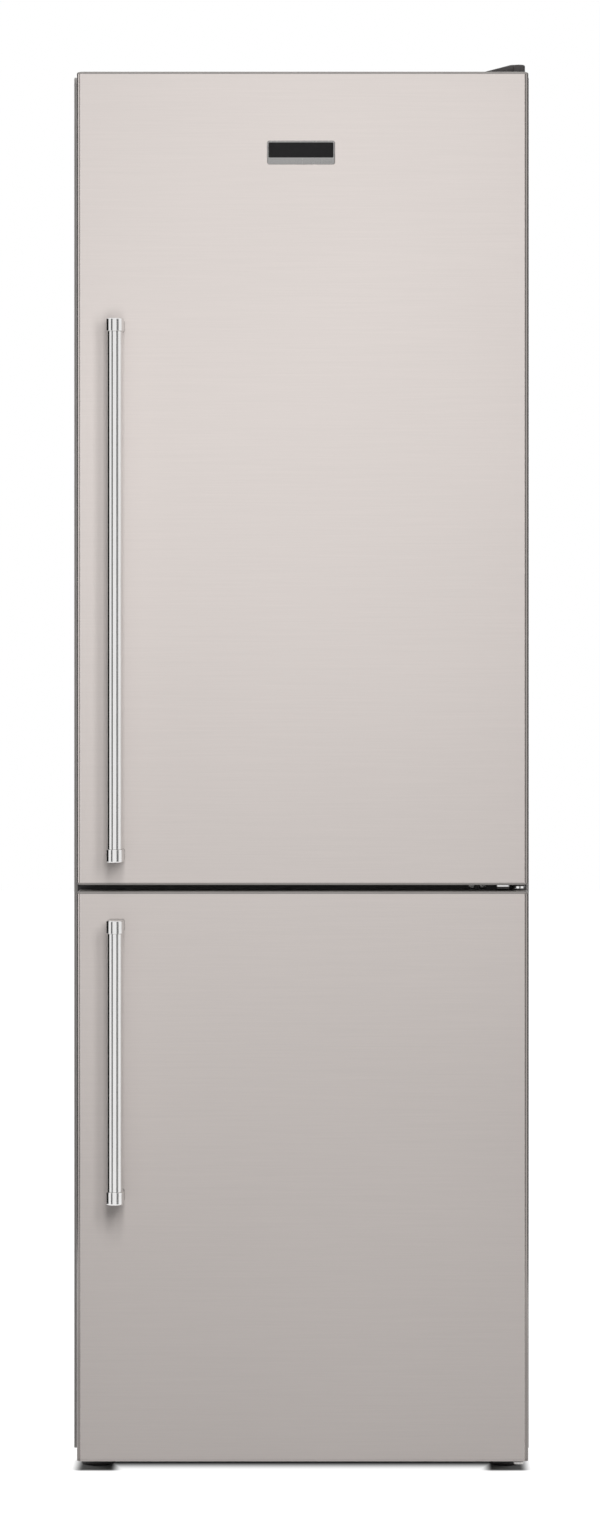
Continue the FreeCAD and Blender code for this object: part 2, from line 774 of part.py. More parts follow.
def middle_screw_spots():
    right = HINGE_X + HINGE_ARM_WIDTH / 2
    left = right - MIDDLE_FLANGE_LENGTH
    middle = middle_hinge_base() + HINGE_PLATE / 2
    inset = SCREW_HEAD_RADIUS + SCREW_RADIUS
    return [(left + inset, middle), (left + inset * 3, middle)]


def middle_screw_bores():
    front = CABINET_FRONT - OVERRUN
    back = CABINET_FRONT + OVERRUN
    return [rod(point(x, front, z), point(x, back, z), SCREW_RADIUS) for x, z in middle_screw_spots()]


def bottom_hinge():
    """Bracket below the freezer door: pin upwards, riser, and a tab under the base pan."""
    high = FREEZER_DOOR_BASE - BOTTOM_HINGE_DROP
    low = high - HINGE_PLATE
    riser_front = CABINET_FRONT - HINGE_PLATE
    right = HINGE_X + HINGE_ARM_WIDTH / 2
    left = right - BOTTOM_TAB_WIDTH
    arm = hinge_arm(low, high, CABINET_FRONT)
    riser = box(left, right, riser_front, CABINET_FRONT, low, CABINET_BASE)
    tab_back = CABINET_FRONT + BOTTOM_TAB_DEPTH
    tab = box(left, right, riser_front, tab_back, CABINET_BASE - HINGE_PLATE, CABINET_BASE)
    bracket = union([arm, riser, tab, pin(low, FREEZER_DOOR_BASE + HINGE_PIN_REACH)])
    return without(bracket, [foot_bore(1)] + bottom_screw_bores())


def bottom_screw_spots():
    right = HINGE_X + HINGE_ARM_WIDTH / 2
    left = right - BOTTOM_TAB_WIDTH
    inset = SCREW_HEAD_RADIUS + SCREW_RADIUS
    back = CABINET_FRONT + BOTTOM_TAB_DEPTH - inset
    return [(left + inset, back), (right - inset, back)]


def bottom_screw_bores():
    low = CABINET_BASE - HINGE_PLATE - OVERRUN
    high = CABINET_BASE + SCREW_LENGTH
    return [rod(point(x, y, low), point(x, y, high), SCREW_RADIUS) for x, y in bottom_screw_spots()]


def screw(seat, out):
    """A pan-head screw: the head stands out of the seat and the shank goes in."""
    head = rod(seat, seat + out * SCREW_HEAD_HEIGHT, SCREW_HEAD_RADIUS)
    return head.fuse(rod(seat, seat - out * SCREW_LENGTH, SCREW_RADIUS)).removeSplitter()


def hinge_screws():
    top = [screw(point(x, y, CABINET_TOP + HINGE_TOP_JOGGLE), UP) for x, y in top_screw_spots()]
    face = CABINET_FRONT - HINGE_PLATE
    middle = [screw(point(x, face, z), REARWARDS * -1) for x, z in middle_screw_spots()]
    under = CABINET_BASE - HINGE_PLATE
    bottom = [screw(point(x, y, under), UP * -1) for x, y in bottom_screw_spots()]
    return top + middle + bottom


def screw_shanks():
    """Room for the hinge screws in the sheets and the foam behind them."""
    shanks = []
    low = CABINET_TOP + HINGE_TOP_JOGGLE - SCREW_LENGTH
    for x, y in top_screw_spots():
        shanks.append(rod(point(x, y, low), point(x, y, CABINET_TOP), SCREW_RADIUS))
    back = CABINET_FRONT - HINGE_PLATE + SCREW_LENGTH
    for x, z in middle_screw_spots():
        shanks.append(rod(point(x, CABINET_FRONT, z), point(x, back, z), SCREW_RADIUS))
    high = CABINET_BASE - HINGE_PLATE + SCREW_LENGTH
    for x, y in bottom_screw_spots():
        shanks.append(rod(point(x, y, CABINET_BASE), point(x, y, high), SCREW_RADIUS))
    return shanks


def hinge_cover():
    """Cover over the top hinge: a flat top, a slope to the left and a round boss over the axis."""
    low = FRIDGE_DOOR_TOP + COVER_LIFT
    high = FRIDGE_DOOR_TOP + COVER_HEIGHT
    right = HINGE_X + COVER_EDGE
    flat = right - COVER_FLAT_WIDTH
    left = flat - COVER_SLOPE_WIDTH
    front = HINGE_Y
    back = CABINET_FRONT + COVER_BACK
    wall = COVER_WALL
    outer = [(left, low), (right, low), (right, high), (flat, high), (left, low + wall * 2)]
    radii = [0, 0, COVER_RADIUS, COVER_RADIUS, 0]
    shell = plate_y(outer, radii, front, back)
    boss = rod(point(HINGE_X, HINGE_Y, low), point(HINGE_X, HINGE_Y, high), COVER_EDGE)
    shell = union([shell, boss])
    inner = [
        (left + wall, low - OVERRUN),
        (right - wall, low - OVERRUN),
        (right - wall, high - wall),
        (flat, high - wall),
        (left + wall, low + wall),
    ]
    hollow = plate_y(inner, [0] * 5, front + wall, back - wall)
    core = rod(
        point(HINGE_X, HINGE_Y, low - OVERRUN), point(HINGE_X, HINGE_Y, high - wall), COVER_EDGE - wall
    )
    bracket_room = hinge_arm(low - OVERRUN, high - wall * 2, back - wall)
    shell = without(shell, [hollow, core, bracket_room])
    skirt_front = CABINET_FRONT + CABINET_TOP_RADIUS
    skirt = box(left, right, skirt_front, back, CABINET_TOP, low)
    room = box(
        left + wall, right - wall, skirt_front - OVERRUN, back - wall, CABINET_TOP - OVERRUN, low + OVERRUN
    )
    return union([shell, skirt.cut(room)])


# Doors


def door_outline(inset=0):
    left = DOOR_LEFT + inset
    right = DOOR_RIGHT - inset
    outline = corners(left, right, DOOR_FRONT + inset, DOOR_REAR)
    radius = DOOR_EDGE_RADIUS - inset
    return outline, [radius, radius, 0, 0]


def door_skin(base, top):
    """Folded steel front with both sides, open at the back, between the end caps."""
    low = base + DOOR_END_CAP
    high = top - DOOR_END_CAP
    outer = plate_z(*door_outline(), low, high)
    outline, radii = door_outline(SHEET)
    outline = outline[:2] + [(x, y + OVERRUN) for x, y in outline[2:]]
    return outer.cut(plate_z(outline, radii, low - OVERRUN, high + OVERRUN))


def door_end_cap(face, outwards, bored):
    """End cap of a door, flush with the skin, with the hinge bush on its inner side."""
    inner = face - outwards * DOOR_END_CAP
    plate = plate_z(*door_outline(), min(face, inner), max(face, inner))
    if not bored:
        return plate
    bush_end = face - outwards * (DOOR_END_CAP + HINGE_BUSH_DEPTH)
    axis_face = point(HINGE_X, HINGE_Y, face)
    bush = rod(axis_face, point(HINGE_X, HINGE_Y, bush_end), HINGE_BUSH_RADIUS)
    start = point(HINGE_X, HINGE_Y, face + outwards * OVERRUN)
    bore_end = face - outwards * HINGE_BORE_DEPTH
    bore = rod(start, point(HINGE_X, HINGE_Y, bore_end), HINGE_PIN_RADIUS + HINGE_PIN_FIT)
    return union([plate, bush]).cut(bore)


def door_end_caps(base, top):
    return [door_end_cap(base, -1, True), door_end_cap(top, 1, True)]


def door_foam(base, top, cores):
    """Foam between the skin, the liner and the end caps, and inside the raised parts of the liner."""
    low = base + DOOR_END_CAP
    high = top - DOOR_END_CAP
    outline, radii = door_outline(SHEET)
    foam = plate_z(outline, radii, low, high)
    rear = box(DOOR_LEFT, DOOR_RIGHT, DOOR_REAR - LINER, DOOR_REAR + OVERRUN, low, high)
    bushes = []
    for face, inwards in ((low, 1), (high, -1)):
        end = face + inwards * HINGE_BUSH_DEPTH
        bushes.append(rod(point(HINGE_X, HINGE_Y, face), point(HINGE_X, HINGE_Y, end), HINGE_BUSH_RADIUS))
    return union([without(foam, [rear] + bushes)] + cores)


def liner_plate(base, top):
    inside = SHEET
    low = base + DOOR_END_CAP
    high = top - DOOR_END_CAP
    return box(DOOR_LEFT + inside, DOOR_RIGHT - inside, DOOR_REAR - LINER, DOOR_REAR, low, high)


def rib(x0, x1, depth, z0, z1):
    """A hollow moulded rib standing off the liner, with rounded free edges."""
    outer = plate_z(
        corners(x0, x1, DOOR_REAR - LINER, DOOR_REAR + depth), [0, 0, RIB_RADIUS, RIB_RADIUS], z0, z1
    )
    radius = RIB_RADIUS - LINER
    inner = plate_z(
        corners(x0 + LINER, x1 - LINER, DOOR_REAR - LINER, DOOR_REAR + depth - LINER),
        [0, 0, radius, radius],
        z0 + LINER,
        z1 - LINER,
    )
    return outer, inner


def rib_sides():
    """Outer faces of the two tall ribs, free side and hinge side."""
    return DOOR_LEFT + RIB_FREE_SIDE, HINGE_X - RIB_HINGE_SIDE


def balcony_floors():
    lifts = [BOTTLE_BALCONY_LIFT, MIDDLE_BALCONY_LIFT, UPPER_BALCONY_LIFT]
    return [FRIDGE_FLOOR + lift for lift in lifts]


def fridge_ribs():
    """The two tall ribs of the fridge door, each as its outside and its core."""
    left, right = rib_sides()
    low = FRIDGE_FLOOR + RIB_END_GAP
    high = FRIDGE_CEILING - RIB_END_GAP
    free = rib(left, left + RIB_WIDTH, RIB_DEPTH, low, high)
    hinged = rib(right - RIB_WIDTH, right, RIB_DEPTH, low, high)
    return [free, hinged]


def fridge_door_liner():
    """Inner sheet with two tall ribs and the lugs that carry the balconies."""
    left, right = rib_sides()
    ribs = fridge_ribs()
    shell = union([liner_plate(FRIDGE_DOOR_BASE, FRIDGE_DOOR_TOP)] + [outer for outer, _ in ribs])
    shell = without(shell, [core for _, core in ribs])
    lugs = []
    for floor in balcony_floors():
        z0 = floor - LUG_HEIGHT
        y1 = DOOR_REAR + LUG_LENGTH
        inner_left = left + RIB_WIDTH
        inner_right = right - RIB_WIDTH
        lugs.append(box(inner_left, inner_left + LUG_REACH, DOOR_REAR, y1, z0, floor))
        lugs.append(box(inner_right - LUG_REACH, inner_right, DOOR_REAR, y1, z0, floor))
    return union([shell] + lugs)


def freezer_bulge():
    """The raised field of the freezer door's inner side as its outside and its core."""
    left = DOOR_LEFT + BULGE_FREE_SIDE
    right = HINGE_X - BULGE_HINGE_SIDE
    low = FREEZER_FLOOR + BULGE_END_GAP
    high = FREEZER_CEILING - BULGE_END_GAP
    back = DOOR_REAR + BULGE_DEPTH
    outer = plate_y(corners(left, right, low, high), [BULGE_RADIUS] * 4, DOOR_REAR - LINER, back)
    inset = corners(left + LINER, right - LINER, low + LINER, high - LINER)
    return outer, plate_y(inset, [BULGE_RADIUS - LINER] * 4, DOOR_REAR - LINER, back - LINER)


def freezer_door_liner():
    """Inner sheet with a raised field that the foam fills."""
    outer, core = freezer_bulge()
    return union([liner_plate(FREEZER_DOOR_BASE, FREEZER_DOOR_TOP), outer]).cut(core)


def frame_layer(left, right, low, high, width, y0, y1):
    outer = box(left, right, y0, y1, low, high)
    return outer.cut(
        box(left + width, right - width, y0 - OVERRUN, y1 + OVERRUN, low + width, high - width)
    )


def door_gasket(base, top):
    """Soft frame seal: a foot on the liner, a waist, and the magnet strip by the cabinet."""
    left = DOOR_LEFT + GASKET_INSET
    right = DOOR_RIGHT - GASKET_INSET
    low = base + GASKET_INSET
    high = top - GASKET_INSET
    y1 = DOOR_REAR + GASKET_BASE_DEPTH
    y2 = y1 + GASKET_WAIST_DEPTH
    y3 = CABINET_FRONT - GASKET_CLEARANCE
    layers = []
    for width, start, end in ((GASKET_WIDTH, DOOR_REAR, y1), (GASKET_WAIST, y1, y2), (GASKET_MAGNET, y2, y3)):
        inset = (GASKET_WIDTH - width) / 2
        layers.append(
            frame_layer(left + inset, right - inset, low + inset, high - inset, width, start, end)
        )
    return union(layers)


# Handles


def handle(low, high):
    """Bar between two round end pieces, each on a post to the door."""
    x = DOOR_LEFT + HANDLE_INSET
    y = DOOR_FRONT - BAR_STANDOFF
    half = HANDLE_POST_WIDTH / 2
    solids = [rod(point(x, y, low + HANDLE_CAP_HEIGHT), point(x, y, high - HANDLE_CAP_HEIGHT), BAR_RADIUS)]
    for face, inwards in ((low, 1), (high, -1)):
        far = face + inwards * HANDLE_CAP_HEIGHT
        cap = rod(point(x, y, face), point(x, y, far), HANDLE_CAP_RADIUS)
        cap = cap.makeChamfer(HANDLE_CAP_CHAMFER, [e for e in cap.Edges if len(e.Vertexes) == 1])
        margin = (HANDLE_CAP_HEIGHT - HANDLE_POST_HEIGHT) / 2
        z0 = min(face, far) + margin
        outline = corners(x - half, x + half, z0, z0 + HANDLE_POST_HEIGHT)
        post = plate_y(outline, [HANDLE_POST_RADIUS] * 4, y, DOOR_FRONT)
        solids.append(union([cap, post]))
    return solids


def fridge_handle():
    low = FRIDGE_DOOR_BASE + FRIDGE_HANDLE_LIFT
    return handle(low, low + FRIDGE_HANDLE_LENGTH)


def freezer_handle():
    high = FREEZER_DOOR_TOP - FREEZER_HANDLE_DROP
    return handle(high - FREEZER_HANDLE_LENGTH, high)


# Plain plate on the fridge door


def badge_window():
    half = BADGE_WIDTH / 2
    high = FRIDGE_DOOR_TOP - BADGE_DROP + BADGE_HEIGHT / 2
    low = high - BADGE_HEIGHT
    window = corners(BADGE_RIM - half, half - BADGE_RIM, low + BADGE_BAND, high - BADGE_RIM)
    return corners(-half, half, low, high), window


def badge_frame():
    """Rim and lower band in one piece, with a shallow window."""
    outline, window = badge_window()
    plate = plate_y(outline, [BADGE_RADIUS] * 4, DOOR_FRONT - BADGE_DEPTH, DOOR_FRONT)
    depth = DOOR_FRONT - BADGE_DEPTH + BADGE_INSET_DEPTH
    return plate.cut(plate_y(window, [BADGE_RADIUS / 2] * 4, DOOR_FRONT - BADGE_DEPTH - OVERRUN, depth))


def badge_inset():
    """Dark plain inset in the window of the plate."""
    window = badge_window()[1]
    back = DOOR_FRONT - BADGE_DEPTH + BADGE_INSET_DEPTH
    return plate_y(window, [BADGE_RADIUS / 2] * 4, back - BADGE_INSET_DEPTH / 2, back)


# Balconies


def balcony(floor, height):
    left, right = rib_sides()
    x0 = left + RIB_WIDTH + BALCONY_FIT
    x1 = right - RIB_WIDTH - BALCONY_FIT
    wall = BALCONY_WALL
    outline = corners(x0, x1, DOOR_REAR, BALCONY_REACH)
    outer = plate_z(outline, [0, 0, BALCONY_RADIUS, BALCONY_RADIUS], floor, floor + height)
    inner_outline = corners(x0 + wall, x1 - wall, DOOR_REAR + wall, BALCONY_REACH - wall)
    radius = BALCONY_RADIUS - wall
    inner = plate_z(inner_outline, [0, 0, radius, radius], floor + wall, floor + height + OVERRUN)
    return outer.cut(inner)


def door_balconies():
    return [balcony(floor, BALCONY_HEIGHT) for floor in balcony_floors()[1:]]


def bottle_balcony():
    return balcony(balcony_floors()[0], BOTTLE_BALCONY_HEIGHT)


# Fridge interior


def glass_pane(top):
    side = FRIDGE_SIDE - SHELF_SIDE_GAP
    margin = TRIM_DEPTH - TRIM_BITE
    return block(-side, side, SHELF_FRONT + margin, SHELF_BACK - margin, top, top + GLASS, GLASS_RADIUS)


def glass_shelves():
    return [glass_pane(top) for top in ledge_heights()]


def shelf_trims():
    """Front and back edge profiles of each glass shelf, between the ledges."""
    side = FRIDGE_SIDE - LEDGE_WIDTH - SHELF_SIDE_GAP
    trims = []
    for top in ledge_heights():
        low = top + GLASS / 2 - TRIM_HEIGHT / 2
        radii = [TRIM_HEIGHT / 3, 0, 0, TRIM_HEIGHT / 3]
        front = corners(SHELF_FRONT, SHELF_FRONT + TRIM_DEPTH, low, low + TRIM_HEIGHT)
        back = corners(SHELF_BACK - TRIM_DEPTH, SHELF_BACK, low, low + TRIM_HEIGHT)
        pane = glass_pane(top)
        trims.append(plate_x(front, radii, -side, side).cut(pane))
        trims.append(plate_x(back, [0] * 4, -side, side).cut(pane))
    return trims


def crisper_drawer():
    """Vegetable drawer with a grip along the top of its front."""
    side = FRIDGE_SIDE - CRISPER_SIDE_GAP
    front = BALCONY_REACH + CRISPER_FRONT_GAP
    low = FRIDGE_FLOOR + CRISPER_FLOOR_GAP
    high = FRIDGE_FLOOR + LOWEST_SHELF_LIFT - CRISPER_TOP_GAP
    body = tray(
        -side, side, front, FRIDGE_BACK - CRISPER_BACK_GAP, low, high, CRISPER_WALL, CRISPER_RADIUS
    )
    half = side / 2
    lip = block(
        -half, half, front - CRISPER_GRIP_REACH, front + CRISPER_WALL, high - CRISPER_WALL, high, CRISPER_WALL / 3
    )
    hook = block(
        -half,
        half,
        front - CRISPER_GRIP_REACH,
        front - CRISPER_GRIP_REACH + CRISPER_WALL,
        high - CRISPER_GRIP_HEIGHT,
        high,
        CRISPER_WALL / 3,
    )
    return union([body, lip, hook])


def air_duct():
    """Slotted cold-air cover on the fridge's rear wall."""
    half = DUCT_WIDTH / 2
    low = FRIDGE_FLOOR + LOWEST_SHELF_LIFT + DUCT_END_GAP
    high = FRIDGE_CEILING - DUCT_END_GAP
    front = FRIDGE_BACK - DUCT_DEPTH
    shell = plate_y(corners(-half, half, low, high), [DUCT_DEPTH] * 4, front, FRIDGE_BACK)
    wall = LINER
    inner = box(
        -half + wall, half - wall, front + wall, FRIDGE_BACK + OVERRUN, low + wall * 2, high - wall * 2
    )
    shell = shell.cut(inner)
    slots = []
    for top in ledge_heights():
        for step in (2, 4, 6):
            z = top + GLASS + DUCT_SLOT_HEIGHT * 2 * step
            slot = corners(-DUCT_SLOT_WIDTH / 2, DUCT_SLOT_WIDTH / 2, z, z + DUCT_SLOT_HEIGHT)
            radii = [DUCT_SLOT_HEIGHT / 3] * 4
            slots.append(plate_y(slot, radii, front - OVERRUN, front + wall + OVERRUN / 2))
    return without(shell, slots)


def housing_base():
    return FRIDGE_CEILING - HOUSING_HEIGHT


def knob_centre():
    return KNOB_SHIFT, housing_base() + HOUSING_HEIGHT / 2


def light_housing():
    """Ceiling housing with the lamp bay and the bore for the knob."""
    half = HOUSING_WIDTH / 2
    low = housing_base()
    front = -HOUSING_FRONT
    body = block(-half, half, front, front + HOUSING_DEPTH, low, FRIDGE_CEILING, HOUSING_RADIUS)
    x0 = -LENS_SHIFT - LENS_WIDTH / 2
    y0 = front + (HOUSING_DEPTH - LENS_DEPTH) / 2
    wall = LENS_WALL * 3
    bay = box(
        x0 + wall,
        x0 + LENS_WIDTH - wall,
        y0 + wall,
        y0 + LENS_DEPTH - wall,
        low - OVERRUN,
        FRIDGE_CEILING - wall,
    )
    x, z = knob_centre()
    depth = front + KNOB_STEM_LENGTH + KNOB_GAP
    bore = rod(point(x, front - OVERRUN, z), point(x, depth, z), KNOB_STEM_RADIUS + KNOB_STEM_FIT)
    return without(body, [bay, bore])


def light_lens():
    """Clear cap below the lamp bay, open towards the lamp."""
    low = housing_base()
    x0 = -LENS_SHIFT - LENS_WIDTH / 2
    y0 = -HOUSING_FRONT + (HOUSING_DEPTH - LENS_DEPTH) / 2
    cap = block(x0, x0 + LENS_WIDTH, y0, y0 + LENS_DEPTH, low - LENS_HEIGHT, low, HOUSING_RADIUS)
    wall = LENS_WALL
    inner = block(
        x0 + wall,
        x0 + LENS_WIDTH - wall,
        y0 + wall,
        y0 + LENS_DEPTH - wall,
        low - LENS_HEIGHT + wall,
        low + OVERRUN,
        HOUSING_RADIUS - wall,
    )
    return cap.cut(inner)


def thermostat_knob():
    """Round knob with grip notches and its stem."""
    x, z = knob_centre()
    back = -HOUSING_FRONT - KNOB_GAP
    face = back - KNOB_DEPTH
    knob = rod(point(x, face, z), point(x, back, z), KNOB_RADIUS)
    stem = rod(point(x, back, z), point(x, back + KNOB_STEM_LENGTH, z), KNOB_STEM_RADIUS)
    notches = []
    for i in range(KNOB_NOTCHES):
        angle = 2 * math.pi * i / KNOB_NOTCHES
        nx = x + KNOB_RADIUS * math.cos(angle)
        nz = z + KNOB_RADIUS * math.sin(angle)
        notches.append(
            rod(point(nx, face - OVERRUN, nz), point(nx, back - KNOB_DEPTH / 4, nz), KNOB_NOTCH_RADIUS)
        )
    return union([without(knob, notches), stem])


def door_switch():
    front = DOOR_REAR + GASKET_CLEARANCE
    start = point(SWITCH_X, front, switch_z())
    return rod(start, point(SWITCH_X, front + SWITCH_LENGTH, switch_z()), SWITCH_RADIUS)


# Freezer interior


def freezer_drawer(index):
    """Freezer drawer with a thick front and a grip recess in it."""
    low, high = drawer_floors()[index]
    back = drawer_backs()[index]
    side = FREEZER_SIDE - DRAWER_SIDE_GAP
    front = drawer_front()
    body = tray(-side, side, front, back, low, high, DRAWER_WALL, DRAWER_RADIUS)
    panel = block(-side, side, front, front + DRAWER_FRONT, low, high, DRAWER_WALL)
    reach = side - DRAWER_GRIP_INSET
    middle = (low + high) / 2
    z0 = middle - DRAWER_GRIP_HEIGHT / 2
    grip = corners(-reach, reach, z0, z0 + DRAWER_GRIP_HEIGHT)
    recess = plate_y(grip, [DRAWER_GRIP_DEPTH] * 4, front - OVERRUN, front + DRAWER_GRIP_DEPTH)
    return union([body, panel]).cut(recess)


def fan_z():
    return FREEZER_CEILING - FAN_DROP


def freezer_rear_cover():
    """Sheet in front of the evaporator, with the fan opening, a return grille and side feet."""
    side = FREEZER_SIDE - REAR_COVER_SIDE_GAP
    low = FREEZER_STEP + REAR_COVER_FLOOR_GAP
    back = REAR_COVER_FRONT + REAR_COVER
    plate = box(-side, side, REAR_COVER_FRONT, back, low, FREEZER_CEILING)
    feet = []
    for sign in (1, -1):
        x0, x1 = sorted((sign * side, sign * (side - REAR_COVER_FOOT * 4)))
        feet.append(box(x0, x1, REAR_COVER_FRONT, back + REAR_COVER_FOOT, FREEZER_STEP, low + REAR_COVER))
    front = REAR_COVER_FRONT - OVERRUN
    opening = rod(point(0, front, fan_z()), point(0, back + OVERRUN, fan_z()), FAN_RADIUS + FAN_CLEARANCE)
    slots = []
    for i in range(GRILLE_SLOTS):
        z = low + GRILLE_PITCH * (i + 1)
        outline = corners(-GRILLE_WIDTH / 2, GRILLE_WIDTH / 2, z, z + GRILLE_SLOT)
        slots.append(plate_y(outline, [GRILLE_SLOT / 3] * 4, front, back + OVERRUN))
    return without(union([plate] + feet), [opening] + slots)


def fan_front():
    return REAR_COVER_FRONT + REAR_COVER + MOTOR_GAP


def fan_rotor():
    """Hub with tilted blades, turning about the fore-and-aft axis."""
    y0 = fan_front()
    y1 = y0 + FAN_DEPTH
    centre = point(0, (y0 + y1) / 2, fan_z())
    hub = rod(point(0, y0, fan_z()), point(0, y1, fan_z()), FAN_HUB_RADIUS)
    chord = FAN_DEPTH * BLADE_CHORD_SHARE
    blades = []
    for i in range(FAN_BLADES):
        start = point(FAN_HUB_RADIUS / 2, -chord / 2, -FAN_BLADE / 2)
        blade = Part.makeBox(FAN_RADIUS - FAN_HUB_RADIUS / 2, chord, FAN_BLADE, start)
        blade.rotate(point(0, 0, 0), RIGHTWARDS, FAN_TWIST_DEGREES)
        blade.rotate(point(0, 0, 0), REARWARDS, 360 / FAN_BLADES * i)
        blade.translate(centre)
        blades.append(blade)
    rotor = union([hub] + blades)
    bore_end = y1 - FAN_DEPTH * SHAFT_REACH_SHARE - FAN_BORE_FIT
    bore = rod(point(0, bore_end, fan_z()), point(0, y1 + OVERRUN, fan_z()), MOTOR_SHAFT_RADIUS + FAN_BORE_FIT)
    return rotor.cut(bore)


def fan_motor():
    """Motor on two arms fixed to the back of the rear cover."""
    rotor_back = fan_front() + FAN_DEPTH
    y0 = rotor_back + MOTOR_GAP
    y1 = y0 + MOTOR_DEPTH
    z = fan_z()
    reach = FAN_RADIUS + FAN_CLEARANCE + MOTOR_ARM * 2
    body = rod(point(0, y0, z), point(0, y1, z), MOTOR_RADIUS)
    shaft = rod(point(0, rotor_back - FAN_DEPTH * SHAFT_REACH_SHARE, z), point(0, y0, z), MOTOR_SHAFT_RADIUS)
    half = MOTOR_ARM / 2
    arm = box(-reach, reach, y0, y0 + MOTOR_ARM, z - half, z + half)
    cover_back = REAR_COVER_FRONT + REAR_COVER
    posts = []
    for sign in (1, -1):
        x0, x1 = sorted((sign * reach, sign * (reach - MOTOR_ARM)))
        posts.append(box(x0, x1, cover_back, y0, z - half, z + half))
    return union([body, shaft, arm] + posts)


def evaporator():
    """Finned serpentine standing on its two end plates."""
    half = EVAPORATOR_SIDE
    y = FREEZER_BACK - (REAR_COVER_GAP - REAR_COVER) / 2
    y0 = y - EVAPORATOR_DEPTH / 2
    y1 = y + EVAPORATOR_DEPTH / 2
    low = FREEZER_STEP + EVAPORATOR_LIFT
    high = low + EVAPORATOR_HEIGHT
    pitch = EVAPORATOR_HEIGHT / EVAPORATOR_RUNS
    turn = half + pitch / 2
    route = []
    for i in range(EVAPORATOR_RUNS):
        z = low + pitch * (i + 1 / 2)
        ends = (-turn, turn) if i % 2 == 0 else (turn, -turn)
        route += [point(x, y, z) for x in ends]
    bodies = [pipe(route, pitch / 2, EVAPORATOR_TUBE_RADIUS)]
    step = (EVAPORATOR_SIDE * 2 - FIN) / (EVAPORATOR_FINS - 1)
    for i in range(EVAPORATOR_FINS):
        x = -half + step * i
        foot_z = FREEZER_STEP if i in (0, EVAPORATOR_FINS - 1) else low
        bodies.append(box(x, x + FIN, y0, y1, foot_z, high))
    return union(bodies)


# Base: rollers and compressor niche


def roller_y():
    return CABINET_BACK - ROLLER_SETBACK


def roller_spot(sign, x):
    return point(sign * (CABINET_SIDE - ROLLER_INSET) + x, roller_y(), ROLLER_RADIUS)


def roller(sign):
    half = ROLLER_WIDTH / 2
    wheel = rod(roller_spot(sign, -half), roller_spot(sign, half), ROLLER_RADIUS)
    wheel = wheel.makeChamfer(AXLE_RADIUS / 3, [e for e in wheel.Edges if len(e.Vertexes) == 1])
    bore = rod(
        roller_spot(sign, -half - OVERRUN), roller_spot(sign, half + OVERRUN), AXLE_RADIUS + AXLE_FIT
    )
    return wheel.cut(bore)


def roller_axles():
    """One headed axle through each roller and its fork."""
    reach = ROLLER_WIDTH / 2 + ROLLER_SIDE_GAP + FORK
    axles = []
    for sign in (1, -1):
        stem = rod(roller_spot(sign, -reach), roller_spot(sign, reach), AXLE_RADIUS)
        heads = [
            rod(roller_spot(sign, reach), roller_spot(sign, reach + AXLE_HEAD), AXLE_HEAD_RADIUS),
            rod(roller_spot(sign, -reach), roller_spot(sign, -reach - AXLE_HEAD), AXLE_HEAD_RADIUS),
        ]
        axles.append(union([stem] + heads))
    return axles


def compressor_plate():
    """Cross plate in the niche with a fork for each rear roller."""
    inside = CABINET_SIDE - SHEET
    plate = box(-inside, inside, NICHE_FRONT, CABINET_BACK, PLATE_BASE, PLATE_TOP)
    rear_lip = box(
        -inside, inside, CABINET_BACK - COMPRESSOR_PLATE, CABINET_BACK, PLATE_BASE, PLATE_TOP + PIPE_BEND
    )
    forks = []
    near = ROLLER_WIDTH / 2 + ROLLER_SIDE_GAP
    for sign in (1, -1):
        for x0 in (near, -near - FORK):
            left = roller_spot(sign, x0).x
            y = roller_y()
            half = FORK_LENGTH / 2
            low = ROLLER_RADIUS - FORK_CHIN
            fork = box(left, left + FORK, y - half, y + half, low, PLATE_BASE)
            reach = near + FORK + OVERRUN
            bore = rod(roller_spot(sign, -reach), roller_spot(sign, reach), AXLE_RADIUS + AXLE_FIT)
            forks.append(fork.cut(bore))
    return union([plate, rear_lip] + forks)


def compressor_middle():
    return point(COMPRESSOR_X, (NICHE_FRONT + CABINET_BACK) / 2, PLATE_TOP + GROMMET_HEIGHT)


def grommet_spots():
    middle = compressor_middle()
    dx = COMPRESSOR_FOOT_LENGTH / 2 - GROMMET_INSET
    dy = COMPRESSOR_FOOT_WIDTH / 2 - GROMMET_INSET
    return [(middle.x + sx * dx, middle.y + sy * dy) for sx in (1, -1) for sy in (1, -1)]


def compressor_grommets():
    rings = []
    for x, y in grommet_spots():
        rings.append(
            ring(
                point(x, y, PLATE_TOP),
                point(x, y, PLATE_TOP + GROMMET_HEIGHT),
                GROMMET_RADIUS,
                GROMMET_RADIUS / 3,
            )
        )
    return rings


def pipe_z():
    return compressor_middle().z + COMPRESSOR_HEIGHT * PIPE_HEIGHT_SHARE


